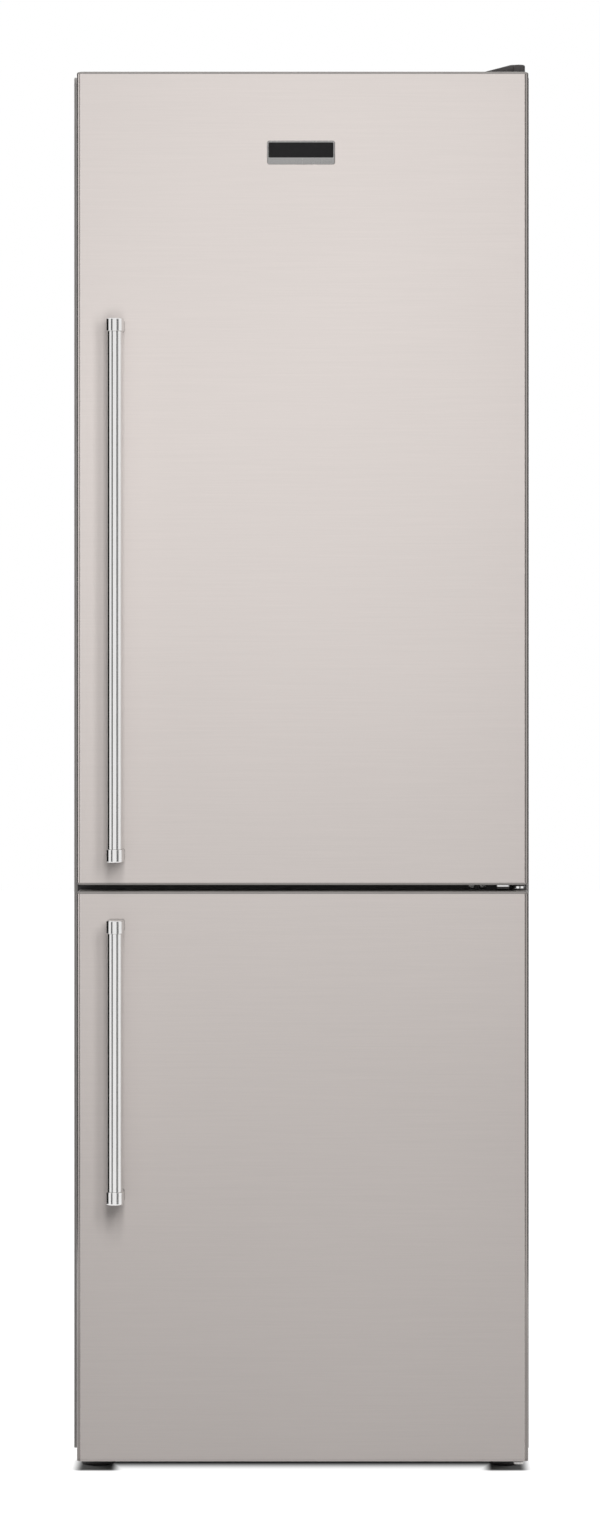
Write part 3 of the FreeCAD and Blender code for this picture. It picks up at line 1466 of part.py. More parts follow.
def compressor():
    """Welded can with rounded ends, its seam, its foot plate and the terminal post."""
    middle = compressor_middle()
    low = middle.z + COMPRESSOR_FOOT
    high = low + COMPRESSOR_HEIGHT
    radius = COMPRESSOR_RADIUS
    profile = [point(0, 0, low), point(radius, 0, low), point(radius, 0, high), point(0, 0, high)]
    dome = COMPRESSOR_DOME
    face = Part.Face(rounded_path(profile, [0, dome, dome, 0], True))
    can = face.revolve(point(0, 0, 0), UP, 360)
    can.translate(point(middle.x, middle.y, 0))
    seam_low = (low + high) / 2
    seam_high = seam_low + COMPRESSOR_SEAM_HEIGHT
    seam = rod(
        point(middle.x, middle.y, seam_low), point(middle.x, middle.y, seam_high), radius + COMPRESSOR_SEAM
    )
    dx = COMPRESSOR_FOOT_LENGTH / 2
    dy = COMPRESSOR_FOOT_WIDTH / 2
    foot_plate = block(
        middle.x - dx, middle.x + dx, middle.y - dy, middle.y + dy, middle.z, low, GROMMET_INSET
    )
    bores = [
        rod(point(x, y, middle.z - OVERRUN), point(x, y, low + OVERRUN), GROMMET_RADIUS / 3)
        for x, y in grommet_spots()
    ]
    terminal_z = middle.z + ELECTRIC_LIFT
    post = rod(
        point(middle.x - radius / 2, middle.y, terminal_z),
        point(electric_right(), middle.y, terminal_z),
        GROMMET_RADIUS,
    )
    return without(union([can, seam, foot_plate, post]), bores)


def electric_right():
    return compressor_middle().x - COMPRESSOR_RADIUS - COMPRESSOR_SEAM - ELECTRIC_GAP


def electrical_box():
    """Terminal cover on the compressor with the gland of the mains inlet."""
    middle = compressor_middle()
    right = electric_right()
    left = right - ELECTRIC_WIDTH
    y0 = middle.y - ELECTRIC_DEPTH / 2
    y1 = y0 + ELECTRIC_DEPTH
    z0 = middle.z + ELECTRIC_LIFT - ELECTRIC_HEIGHT / 2
    z1 = z0 + ELECTRIC_HEIGHT
    wall = ELECTRIC_WALL
    shell = block(left, right, y0, y1, z0, z1, wall * 2)
    inner = box(left + wall, right - wall, y0 + wall, y1 - wall, z0 - OVERRUN, z1 - wall)
    x = (left + right) / 2
    z = (z0 + z1) / 2
    gland = rod(point(x, y1 - wall, z), point(x, y1 + INLET_LENGTH, z), INLET_RADIUS)
    bore = rod(point(x, y1 - wall * 2, z), point(x, y1 + INLET_LENGTH + OVERRUN, z), INLET_BORE_RADIUS)
    return union([shell.cut(inner), gland]).cut(bore)


def drip_tray():
    """Evaporation tray on top of the compressor."""
    middle = compressor_middle()
    low = middle.z + COMPRESSOR_FOOT + COMPRESSOR_HEIGHT + CONDENSER_TUBE_GAP
    dx = TRAY_WIDTH / 2
    dy = TRAY_DEPTH / 2
    return tray(
        middle.x - dx,
        middle.x + dx,
        middle.y - dy,
        middle.y + dy,
        low,
        low + TRAY_HEIGHT,
        TRAY_WALL,
        TRAY_RADIUS,
    )


def drier_base():
    return point(DRIER_X, NICHE_FRONT + DRIER_SETBACK, PLATE_TOP + DRIER_LIFT)


def drier_filter():
    base = drier_base()
    cone = DRIER_RADIUS
    narrow = PIPE_RADIUS
    low = Part.makeCone(narrow, DRIER_RADIUS, cone, base, UP)
    barrel = rod(base + UP * cone, base + UP * (DRIER_LENGTH - cone), DRIER_RADIUS)
    high = Part.makeCone(DRIER_RADIUS, narrow, cone, base + UP * (DRIER_LENGTH - cone), UP)
    return union([low, barrel, high])


def refrigerant_pipes():
    """Discharge, liquid, capillary and suction pipes between the parts of the circuit."""
    middle = compressor_middle()
    gap = CONDENSER_TUBE_GAP
    z = pipe_z()
    y = condenser_y()
    low_end, high_end = condenser_ends()
    edge = COMPRESSOR_RADIUS + gap
    discharge = [
        point(middle.x, middle.y + edge, z),
        point(middle.x, y, z),
        point(high_end.x, y, z),
        high_end - UP * gap,
    ]
    base = drier_base()
    bottom = PLATE_TOP + PIPE_BEND + PIPE_SEAT
    crossing = low_end.z - PIPE_BEND * 2
    liquid = [
        low_end - UP * gap,
        point(low_end.x, y, crossing),
        point(base.x, y, crossing),
        point(base.x, y, bottom),
        point(base.x, base.y, bottom),
        base - UP * gap,
    ]
    roof = NICHE_TOP - BASE_SHEET - gap
    top = base + UP * (DRIER_LENGTH + gap)
    capillary = [top, point(base.x, base.y, roof)]
    far = middle.x + edge + PIPE_BEND + PIPE_SEAT
    suction = [point(middle.x + edge, middle.y, z), point(far, middle.y, z), point(far, middle.y, roof)]
    return [pipe(route, PIPE_BEND, PIPE_RADIUS) for route in (discharge, liquid, capillary, suction)]


# Condenser


def condenser_y():
    wire_front = TOTAL_DEPTH / 2 - WIRE_RADIUS * 2
    return wire_front - CONDENSER_TUBE_GAP - CONDENSER_TUBE_RADIUS


def condenser_bottom():
    return CABINET_BASE + CONDENSER_LIFT


def condenser_top():
    return condenser_bottom() + CONDENSER_PITCH * (CONDENSER_RUNS - 1)


def condenser_turn():
    return CONDENSER_SIDE - PIPE_BEND - WIRE_MARGIN


def condenser_ends():
    """Lower ends of the condenser tube, above the niche."""
    y = condenser_y()
    z = NICHE_TOP - PIPE_BEND
    return point(condenser_turn(), y, z), point(condenser_turn() + PIPE_BEND, y, z)


def condenser_tube():
    """Serpentine tube: half-round turns at both sides and a return down the right side."""
    y = condenser_y()
    turn = condenser_turn()
    low_end, high_end = condenser_ends()
    route = [low_end]
    radii = [0]
    for i in range(CONDENSER_RUNS):
        z = condenser_bottom() + CONDENSER_PITCH * i
        ends = (turn, -turn) if i % 2 == 0 else (-turn, turn)
        route += [point(x, y, z) for x in ends]
        radii += [CONDENSER_PITCH / 2] * 2
    radii[1] = PIPE_BEND / 2
    route[-1] = point(high_end.x, y, condenser_top())
    radii[-1] = PIPE_BEND / 2
    route.append(high_end)
    radii.append(0)
    path = rounded_path(route, radii)
    section = Part.Wire(Part.makeCircle(CONDENSER_TUBE_RADIUS, low_end, UP))
    tube = path.makePipeShell([section], True, False)
    expected = math.pi * CONDENSER_TUBE_RADIUS**2 * path.Length
    print("condenser tube volume over section times length:", round(tube.Volume / expected, 4))
    return tube


def condenser_wires():
    """Upright wires joined by a flat bar at each end."""
    half = CONDENSER_SIDE
    y = TOTAL_DEPTH / 2 - WIRE_RADIUS
    low = condenser_bottom() - WIRE_MARGIN * 2
    high = condenser_top() + WIRE_MARGIN * 2
    bar = WIRE_RADIUS * BAR_DEPTH_SHARE
    pieces = [
        box(-half, half, y - bar, y + bar, low, low + END_BAR_HEIGHT),
        box(-half, half, y - bar, y + bar, high - END_BAR_HEIGHT, high),
    ]
    step = (CONDENSER_SIDE - WIRE_MARGIN) * 2 / (WIRE_COUNT - 1)
    for i in range(WIRE_COUNT):
        x = WIRE_MARGIN - half + step * i
        start = point(x, y, low + END_BAR_HEIGHT / 2)
        pieces.append(rod(start, point(x, y, high - END_BAR_HEIGHT / 2), WIRE_RADIUS))
    return union(pieces)


def condenser_clips():
    """Four spacers that hold the end bars off the back panel."""
    front = CABINET_BACK
    back = TOTAL_DEPTH / 2 - WIRE_RADIUS * 2 - CONDENSER_TUBE_GAP
    low = condenser_bottom() - WIRE_MARGIN * 2 + END_BAR_HEIGHT / 2
    high = condenser_top() + WIRE_MARGIN * 2 - END_BAR_HEIGHT / 2
    clips = []
    for sign in (1, -1):
        for z in (low, high):
            x = sign * CONDENSER_SIDE * CLIP_PLACE_SHARE
            half = CLIP_WIDTH / 2
            tall = END_BAR_HEIGHT / 2
            outer = box(x - half, x + half, front, back, z - tall, z + tall)
            wall = CLIP_WALL
            room = box(
                x - half + wall, x + half - wall, front + wall, back - wall, z - tall - OVERRUN, z + tall + OVERRUN
            )
            clips.append(outer.cut(room))
    return clips


# All nodes


def build():
    nodes = {}
    liners = {"fridge_liner": fridge_liner(), "freezer_liner": freezer_liner()}
    shell = {
        "side_panel_right": side_panel_right(),
        "side_panel_left": mirrored(side_panel_right()),
        "top_panel": top_panel(),
        "back_panel": back_panel(),
        "mullion_rail": mullion_rail(),
        "base_pan": base_pan(),
    }
    shanks = screw_shanks()
    for name in ("top_panel", "mullion_rail", "base_pan", "side_panel_right"):
        shell[name] = without(shell[name], shanks)
    nodes.update(liners)
    nodes.update(shell)
    foam_neighbours = list(liners.values()) + list(shell.values()) + shanks
    nodes["insulation_foam"] = insulation_foam(foam_neighbours)
    nodes["compressor_plate"] = compressor_plate()
    nodes["top_hinge"] = top_hinge()
    nodes["hinge_cover"] = hinge_cover()
    nodes["middle_hinge"] = middle_hinge()
    nodes["bottom_hinge"] = bottom_hinge()
    nodes["hinge_screws"] = group(hinge_screws())
    nodes["foot_left"] = foot(-1)
    nodes["foot_right"] = foot(1)
    nodes["roller_left"] = roller(-1)
    nodes["roller_right"] = roller(1)
    nodes["roller_axles"] = group(roller_axles())
    nodes["compressor"] = compressor()
    nodes["compressor_grommets"] = group(compressor_grommets())
    nodes["electrical_box"] = electrical_box()
    nodes["refrigerant_pipes"] = group(refrigerant_pipes())
    nodes["drier_filter"] = drier_filter()
    nodes["drip_tray"] = drip_tray()
    nodes["condenser_tube"] = condenser_tube()
    nodes["condenser_wires"] = condenser_wires()
    nodes["condenser_clips"] = group(condenser_clips())
    nodes["evaporator"] = evaporator()
    nodes["fan_rotor"] = fan_rotor()
    nodes["fan_motor"] = fan_motor()
    nodes["freezer_rear_cover"] = freezer_rear_cover()
    nodes["air_duct"] = air_duct()
    nodes["light_housing"] = light_housing()
    nodes["light_lens"] = light_lens()
    nodes["thermostat_knob"] = thermostat_knob()
    nodes["door_switch"] = door_switch()
    nodes["glass_shelves"] = group(glass_shelves())
    nodes["shelf_trims"] = group(shelf_trims())
    nodes["crisper_drawer"] = crisper_drawer()
    for index, name in enumerate(("lower", "middle", "upper")):
        nodes["freezer_drawer_" + name] = freezer_drawer(index)
    door_liners = {
        "fridge": (FRIDGE_DOOR_BASE, FRIDGE_DOOR_TOP, fridge_door_liner(), [c for _, c in fridge_ribs()]),
        "freezer": (FREEZER_DOOR_BASE, FREEZER_DOOR_TOP, freezer_door_liner(), [freezer_bulge()[1]]),
    }
    for name, (base, top, liner, cores) in door_liners.items():
        nodes[name + "_door_skin"] = door_skin(base, top)
        nodes[name + "_door_liner"] = liner
        nodes[name + "_door_gasket"] = door_gasket(base, top)
        nodes[name + "_door_foam"] = door_foam(base, top, cores)
        nodes[name + "_door_end_caps"] = group(door_end_caps(base, top))
    nodes["fridge_handle"] = group(fridge_handle())
    nodes["freezer_handle"] = group(freezer_handle())
    nodes["badge_frame"] = badge_frame()
    nodes["badge_inset"] = badge_inset()
    nodes["door_balconies"] = group(door_balconies())
    nodes["bottle_balcony"] = bottle_balcony()
    return nodes


os.makedirs("parts", exist_ok=True)
for node, shape in build().items():
    for solid in shape.Solids:
        if not solid.isValid():
            print("not valid:", node)
    print(node, len(shape.Solids), round(shape.Volume / 1000, 1))
    shape.exportStep(os.path.join("parts", node + ".step"))
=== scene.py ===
import json
import math

import bmesh
import bpy
import numpy as np
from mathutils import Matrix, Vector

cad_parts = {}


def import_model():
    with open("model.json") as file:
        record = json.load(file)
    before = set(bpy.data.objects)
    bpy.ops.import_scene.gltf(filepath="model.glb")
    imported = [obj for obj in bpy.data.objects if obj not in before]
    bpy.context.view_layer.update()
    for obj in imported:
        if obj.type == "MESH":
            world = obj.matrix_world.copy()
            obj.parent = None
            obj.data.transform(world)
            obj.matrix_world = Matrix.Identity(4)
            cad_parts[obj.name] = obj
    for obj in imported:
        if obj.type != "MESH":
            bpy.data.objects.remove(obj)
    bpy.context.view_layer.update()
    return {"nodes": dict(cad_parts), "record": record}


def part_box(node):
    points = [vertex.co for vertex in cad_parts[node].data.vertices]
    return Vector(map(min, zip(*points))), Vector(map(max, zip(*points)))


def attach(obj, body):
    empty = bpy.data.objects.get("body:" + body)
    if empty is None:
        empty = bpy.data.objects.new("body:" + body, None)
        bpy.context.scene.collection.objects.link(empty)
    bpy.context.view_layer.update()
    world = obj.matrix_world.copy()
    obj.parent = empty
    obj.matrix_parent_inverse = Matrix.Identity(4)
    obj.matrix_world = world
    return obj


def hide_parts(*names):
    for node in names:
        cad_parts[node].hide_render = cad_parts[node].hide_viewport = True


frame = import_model()
NODES = frame["nodes"]
BODY_OF = {node: body for body, nodes in frame["record"]["behaviour"]["bodies"].items() for node in nodes}
SLOT_OF = {row["node"]: row["material_slot"] for row in frame["record"]["subparts"]}

# The doors' hinge line, where the end caps show their bushes
HINGE_X, HINGE_Y = 0.2853, -0.27

# The doors' front corners, seen from above, are quarter ellipses this wide and deep; their back corners are
# round
EDGE_ACROSS, EDGE_DEEP, EDGE_BACK = 0.0052, 0.0056, 0.001

# Painted shade in the folds' colour, standing in for the dark surroundings they would mirror: how much darker
# the fold on the hinge side is, and both folds towards the floor, between two heights
RIGHT_FOLD_PAINTED_SHADE = 0.5
LOW_FOLD_PAINTED_SHADE = 0.66
LOW_FOLD_BOTTOM, LOW_FOLD_TOP = 0.15, 0.75

# Camera: the photograph's size in pixels, the metres of one pixel at the door fronts, the pixel straight
# ahead of the lens, the camera's place across and up, its distance from the doors, and how far it sees
IMAGE_WIDTH, IMAGE_HEIGHT = 600, 1534
PIXEL = 0.001308
AHEAD_X, AHEAD_Y = 350, 606
CAMERA_X, CAMERA_Z = 0.064, 1.137
DISTANCE = 7.0
SENSOR = 36.0
SIGHT = 100

# Lamps: the place, the spot it points at, width and height in metres, and watts
LAMPS = [
    ("softbox", (-0.1, -2.2, 1.7), (-0.08, -0.3, 1.8), 0.36, 1.7, 26),
    ("key", (0.47, -2.35, 1.62), (0.05, -0.3, 1.75), 0.36, 1.1, 15.8),
    ("rear_left", (-2.7, 2.0, 1.5), (0.0, 0.0, 1.0), 1.6, 1.8, 65),
    ("rear_right", (2.7, 2.0, 1.5), (0.0, 0.0, 1.0), 1.6, 1.8, 65),
    ("above", (0.0, 0.4, 4.0), (0.0, 0.2, 1.8), 1.6, 1.6, 26),
]

# The light from all round, and the floor: its half width, its own light, and the share of it in mirrors
WORLD_FILL = 0.13
FLOOR_REACH = 14.0
FLOOR_GLOW = 1.0
FLOOR_MIRRORED = 0.9

# Upright cards that only bright metal mirrors: how far from the fridge handle, from what height up and how
# tall, and for each its azimuth in degrees, its width in metres and its level
FLAG_DISTANCE, FLAG_FOOT, FLAG_HEIGHT = 2.0, 0.05, 2.3
FLAGS = [
    ("flag_left_rear", -118, 2.2, 0.01),
    ("flag_left", -40, 0.75, 0.15),
    ("flag_right", 31, 0.45, 0.03),
    ("flag_far_right", 46, 0.5, 0.3),
    ("flag_right_rear", 122, 1.9, 0.06),
]


def camera():
    """A level camera whose lens is shifted so that the doors fill the picture as they do in the photograph."""
    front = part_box("fridge_door_skin")[0].y
    data = bpy.data.cameras.new("camera")
    data.sensor_width = SENSOR
    data.lens = SENSOR * DISTANCE / (IMAGE_HEIGHT * PIXEL)
    data.shift_x = (IMAGE_WIDTH / 2 - AHEAD_X) / IMAGE_HEIGHT
    data.shift_y = -(IMAGE_HEIGHT / 2 - AHEAD_Y) / IMAGE_HEIGHT
    data.clip_end = SIGHT
    made = bpy.data.objects.new("camera", data)
    made.location = (CAMERA_X, front - DISTANCE, CAMERA_Z)
    made.rotation_euler = (math.radians(90), 0, 0)
    bpy.context.scene.collection.objects.link(made)
    bpy.context.scene.camera = made


# Node material helpers


class Shader:
    """A material's node tree with short calls for the nodes that the finishes below use."""

    def __init__(self, name):
        self.material = bpy.data.materials.new(name)
        self.material.use_nodes = True
        self.tree = self.material.node_tree
        self.tree.nodes.clear()
        self.surface = self.node("ShaderNodeBsdfPrincipled")
        self.link(self.surface.outputs["BSDF"], self.node("ShaderNodeOutputMaterial").inputs["Surface"])
        self.place = self.node("ShaderNodeTexCoord").outputs["Object"]

    def node(self, kind, **values):
        made = self.tree.nodes.new(kind)
        for key, value in values.items():
            setattr(made, key, value)
        return made

    def link(self, start, end):
        self.tree.links.new(start, end)

    def set(self, **values):
        for key, value in values.items():
            self.surface.inputs[key.replace("_", " ")].default_value = value

    def scaled(self, scale):
        mapping = self.node("ShaderNodeMapping")
        mapping.inputs["Scale"].default_value = scale
        self.link(self.place, mapping.inputs["Vector"])
        return mapping.outputs["Vector"]

    def noise(self, scale, detail=3.0, roughness=0.5, stretch=(1, 1, 1)):
        made = self.node("ShaderNodeTexNoise")
        made.inputs["Scale"].default_value = scale
        made.inputs["Detail"].default_value = detail
        made.inputs["Roughness"].default_value = roughness
        self.link(self.scaled(stretch), made.inputs["Vector"])
        return made.outputs["Fac"]

    def range(self, value, low, high, from_low=0.3, from_high=0.7):
        made = self.node("ShaderNodeMapRange")
        made.inputs["From Min"].default_value = from_low
        made.inputs["From Max"].default_value = from_high
        made.inputs["To Min"].default_value = low
        made.inputs["To Max"].default_value = high
        self.link(value, made.inputs["Value"])
        return made.outputs["Result"]

    def blend(self, factor, first, second):
        made = self.node("ShaderNodeMix", data_type="RGBA")
        for value, socket in ((first, made.inputs["A"]), (second, made.inputs["B"])):
            if isinstance(value, tuple):
                socket.default_value = (*value, 1)
            else:
                self.link(value, socket)
        self.link(factor, made.inputs["Factor"])
        return made.outputs["Result"]

    def math(self, operation, first, second=None):
        made = self.node("ShaderNodeMath", operation=operation)
        for value, socket in ((first, made.inputs[0]), (second, made.inputs[1])):
            if isinstance(value, (int, float)):
                socket.default_value = value
            elif value is not None:
                self.link(value, socket)
        return made.outputs[0]

    def bump(self, height, strength, distance):
        made = self.node("ShaderNodeBump")
        made.inputs["Strength"].default_value = strength
        made.inputs["Distance"].default_value = distance
        self.link(height, made.inputs["Height"])
        self.link(made.outputs["Normal"], self.surface.inputs["Normal"])


def linear(red, green, blue):
    """A colour given as it looks on a screen, 0 to 255, turned into linear light."""
    shares = np.array([red, green, blue]) / 255
    return tuple(np.where(shares <= 0.04045, shares / 12.92, ((shares + 0.055) / 1.055) ** 2.4))


def shade(colour, share):
    """A share of a colour, or more than all of it."""
    return tuple(channel * share for channel in colour)


def door_finish():
    """Satin grey coat over steel with faint level brushing, a little uneven in tone and gloss. The rounded
    folds down the doors' sides are bare and more polished. Their colour carries painted shade, darker on the
    hinge side and towards the floor, in place of the dark surroundings they would mirror. Whether a place is
    in a fold goes by how far it is from the door's middle and from its front."""
    s = Shader("door_finish")
    base = linear(214, 206, 202)
    before, after, fading = 0.0002, 0.0008, 0.003
    grain = s.noise(1.0, 4.0, 0.65, (9, 9, 620))
    cloud = s.noise(1.6, 2.0)
    tone = s.math("ADD", s.range(grain, -0.5, 0.5), s.range(cloud, -0.5, 0.5))
    colour = s.blend(s.range(tone, 0, 1, -1, 1), shade(base, 0.955), shade(base, 1.04))
    low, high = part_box("fridge_door_skin")
    place = s.node("ShaderNodeSeparateXYZ")
    s.link(s.place, place.inputs["Vector"])
    middle, half = (low.x + high.x) / 2, (high.x - low.x) / 2
    off_middle = s.math("ABSOLUTE", s.math("SUBTRACT", place.outputs["X"], middle))
    aside = s.range(off_middle, 0, 1, half - EDGE_ACROSS - before, half - EDGE_ACROSS + after)
    ahead = s.range(place.outputs["Y"], 1, 0, low.y + EDGE_DEEP, low.y + EDGE_DEEP + fading)
    fold = s.math("MULTIPLY", aside, ahead)
    # Painted shade: the folds' colour is darkened towards the hinge side and towards the floor
    right_fold_shade = s.range(place.outputs["X"], 0, RIGHT_FOLD_PAINTED_SHADE, middle, high.x - EDGE_ACROSS)
    low_fold_shade = s.range(place.outputs["Z"], LOW_FOLD_PAINTED_SHADE, 0, LOW_FOLD_BOTTOM, LOW_FOLD_TOP)
    dark = s.math("MAXIMUM", s.math("MULTIPLY", fold, right_fold_shade), s.math("MULTIPLY", fold, low_fold_shade))
    s.link(s.blend(dark, colour, (0, 0, 0)), s.surface.inputs["Base Color"])
    s.link(s.range(fold, 0.12, 0.96, 0, 1), s.surface.inputs["Metallic"])
    rough = s.math("MULTIPLY", s.range(grain, 0.36, 0.46), s.range(fold, 1, 0.36, 0, 1))
    s.link(rough, s.surface.inputs["Roughness"])
    s.set(Coat_Weight=0.15, Coat_Roughness=0.25)
    s.bump(grain, 0.05, 0.0001)
    return s.material


def painted_sheet():
    """Grey paint with a fine orange peel."""
    s = Shader("cabinet_paint")
    base = linear(176, 173, 171)
    colour = s.blend(s.range(s.noise(3.0, 2.0), 0, 1), shade(base, 0.96), shade(base, 1.02))
    s.link(colour, s.surface.inputs["Base Color"])
    s.link(s.range(s.noise(60.0), 0.38, 0.5), s.surface.inputs["Roughness"])
    s.bump(s.noise(900.0, 2.0), 0.12, 0.0002)
    return s.material


def zinc_sheet(name, colour):
    """Bare sheet steel: drawn grain with duller patches."""
    s = Shader(name)
    grain = s.noise(1.0, 4.0, 0.6, (900, 30, 30))
    patch = s.noise(18.0, 3.0)
    s.link(s.blend(s.range(patch, 0, 1), shade(colour, 0.82), colour), s.surface.inputs["Base Color"])
    s.link(s.range(grain, 0.28, 0.5), s.surface.inputs["Roughness"])
    s.set(Metallic=0.9)
    s.bump(grain, 0.08, 0.0002)
    return s.material


def moulded(name, colour, rough=0.4, peel=0.06, scale=1200.0, uneven=0.1):
    """Moulded plastic or rubber: a fine grain and slightly uneven tone and gloss."""
    s = Shader(name)
    cloud = s.noise(14.0, 3.0)
    s.link(s.blend(s.range(cloud, 0, 1), shade(colour, 1.03 - uneven), shade(colour, 1.03)),
           s.surface.inputs["Base Color"])
    s.link(s.range(s.noise(90.0), rough - 0.05, rough + 0.07), s.surface.inputs["Roughness"])
    s.bump(s.noise(scale, 2.0), peel, 0.0002)
    return s.material


def polished_metal(name, colour, rough):
    """Bright metal with faint wipe marks in its gloss."""
    s = Shader(name)
    marks = s.noise(1.0, 3.0, 0.6, (300, 300, 14))
    s.link(s.blend(s.range(marks, 0, 1), shade(colour, 0.94), colour), s.surface.inputs["Base Color"])
    s.link(s.range(marks, rough * 0.7, rough * 1.4), s.surface.inputs["Roughness"])
    s.set(Metallic=1.0)
    return s.material


def glossy_field():
    """Dark glossy field of the plate: a deep tone under a thin clear coat, a little uneven."""
    s = Shader("plate_inset")
    base = linear(22, 21, 22)
    s.link(s.blend(s.range(s.noise(60.0), 0, 1), shade(base, 0.8), base), s.surface.inputs["Base Color"])
    s.link(s.range(s.noise(30.0), 0.2, 0.3), s.surface.inputs["Roughness"])
    s.set(Specular_IOR_Level=0.18)
    s.bump(s.noise(700.0, 2.0), 0.02, 0.0001)
    return s.material


def clear(name, tint, alpha, rough, ior=1.49):
    """Clear plastic or glass, a little cloudy, shown through its alpha so that what is behind it shows."""
    s = Shader(name)
    cloud = s.noise(9.0, 3.0)
    s.link(s.blend(s.range(cloud, 0, 1), shade(tint, 0.97), tint), s.surface.inputs["Base Color"])
    s.link(s.range(s.noise(50.0), rough * 0.8, rough * 1.3), s.surface.inputs["Roughness"])
    s.set(IOR=ior, Alpha=alpha)
    return s.material


def rigid_foam():
    """Cut rigid foam: small closed cells."""
    s = Shader("foam")
    cells = s.node("ShaderNodeTexVoronoi")
    cells.inputs["Scale"].default_value = 900.0
    s.link(s.place, cells.inputs["Vector"])
    base = linear(226, 208, 150)
    s.link(s.blend(s.range(s.noise(20.0), 0, 1), shade(base, 0.9), base), s.surface.inputs["Base Color"])
    s.set(Roughness=0.9)
    s.bump(cells.outputs["Distance"], 0.3, 0.0006)
    return s.material


FINISHES = {
    "door_finish": door_finish(),
    "cabinet_paint": painted_sheet(),
    "zinc_steel": zinc_sheet("zinc_steel", (0.52, 0.53, 0.54)),
    "dark_plastic": moulded("dark_plastic", linear(58, 55, 55), 0.42, 0.12, uneven=0.05),
    "cap_plastic": moulded("cap_plastic", linear(150, 146, 143), 0.45),
    "liner_plastic": moulded("liner_plastic", linear(234, 234, 231), 0.32, 0.03, uneven=0.025),
    "foam": rigid_foam(),
    "gasket_rubber": moulded("gasket_rubber", linear(74, 73, 72), 0.6),
    "handle_metal": polished_metal("handle_metal", (0.82, 0.815, 0.81), 0.09),
    "plate_metal": polished_metal("plate_metal", (0.36, 0.355, 0.35), 0.22),
    "plate_inset": glossy_field(),
    "shelf_glass": clear("shelf_glass", (0.80, 0.92, 0.89), 0.25, 0.03, 1.52),
    "trim_plastic": moulded("trim_plastic", linear(214, 214, 213), 0.3),
    "clear_plastic": clear("clear_plastic", (0.88, 0.92, 0.945), 0.27, 0.1),
    "hinge_steel": zinc_sheet("hinge_steel", (0.60, 0.585, 0.57)),
    "black_enamel": moulded("black_enamel", linear(34, 34, 36), 0.28, 0.05),
    "copper": zinc_sheet("copper", (0.75, 0.42, 0.27)),
    "bare_aluminium": zinc_sheet("bare_aluminium", (0.74, 0.745, 0.75)),
    "grommet_rubber": moulded("grommet_rubber", linear(40, 40, 40), 0.7),
    "roller_nylon": moulded("roller_nylon", linear(222, 219, 210), 0.5),
    "white_plastic": moulded("white_plastic", linear(226, 226, 224), 0.4, uneven=0.03),
}


def finish_nodes():
    """Each CAD node takes the finish that its slot in the record names."""
    for node, made in NODES.items():
        made.data.materials.clear()
        made.data.materials.append(FINISHES[SLOT_OF[node]])


# Shapes, all computed as whole arrays

# The weld of doubled points in metres, and in degrees what counts as flat and as an edge of a carried-over
# solid; how finely round corners, rounded edges and their bevels are cut
WELD = 2e-6
FLAT, SHARP = 0.4, 32
CORNER_STEPS, EDGE_STEPS, BEVEL_STEPS = 8, 4, 2


def piece(name, body, slot, points, faces, stands_for=(), crease=35):
    """A mesh object of the given points and faces that rides on a body and stands for CAD nodes."""
    mesh = bpy.data.meshes.new(name)
    points = np.asarray(points, float).reshape(-1, 3)
    mesh.from_pydata(points.tolist(), [], [list(map(int, face)) for face in faces])
    mesh.validate()
    shell = bmesh.new()
    shell.from_mesh(mesh)
    bmesh.ops.recalc_face_normals(shell, faces=shell.faces)
    shell.to_mesh(mesh)
    shell.free()
    mesh.polygons.foreach_set("use_smooth", [True] * len(mesh.polygons))
    mesh.set_sharp_from_angle(angle=math.radians(crease))
    mesh.materials.append(FINISHES[slot])
    made = bpy.data.objects.new(name, mesh)
    bpy.context.scene.collection.objects.link(made)
    if stands_for:
        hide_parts(*stands_for)
    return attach(made, body)


def joined(*shells):
    """Several (points, faces) shells as one."""
    points, faces, start = [], [], 0
    for some_points, some_faces in shells:
        some_points = np.asarray(some_points, float).reshape(-1, 3)
        points.append(some_points)
        faces += [[start + i for i in face] for face in some_faces]
        start += len(some_points)
    return np.vstack(points), faces


def stacked(rings, closed_ends=True, loop=False):
    """Quads between rings of equal length, with a face over each end or round in a loop.
    Point i of ring j is rings[j, i]; face (i, j) joins i and i + 1 of rings j and j + 1."""
    rings = np.asarray(rings, float)
    count, size = rings.shape[:2]
    ring = np.arange(size)
    after = (ring + 1) % size
    faces = []
    for j in range(count if loop else count - 1):
        a, b = j * size, (j + 1) % count * size
        faces += np.stack([a + ring, a + after, b + after, b + ring], 1).tolist()
    if closed_ends and not loop:
        faces.append(list(range(size))[::-1])
        faces.append(list(range((count - 1) * size, count * size)))
    return rings.reshape(-1, 3), faces


def axes(direction):
    """Two unit vectors square to a direction and to each other."""
    along = Vector(direction).normalized()
    first = along.orthogonal().normalized()
    return np.array(first), np.array(along.cross(first)), np.array(along)


def lathe(origin, direction, profile, steps=64, wave=None, loop=False):
    """A body of revolution: at each turn a, points origin + t * direction + r * (cos a, sin a), where
    wave(a, r, t), if given, multiplies r. With loop the profile closes on itself, round a bore."""
    first, second, along = axes(direction)
    turns = np.linspace(0, 2 * math.pi, steps, endpoint=False)
    rings = []
    for radius, t in profile:
        r = radius * (wave(turns, radius, t) if wave else np.ones(steps))
        round_it = np.outer(r * np.cos(turns), first) + np.outer(r * np.sin(turns), second)
        rings.append(np.array(origin) + t * along + round_it)
    return stacked(rings, loop=loop)


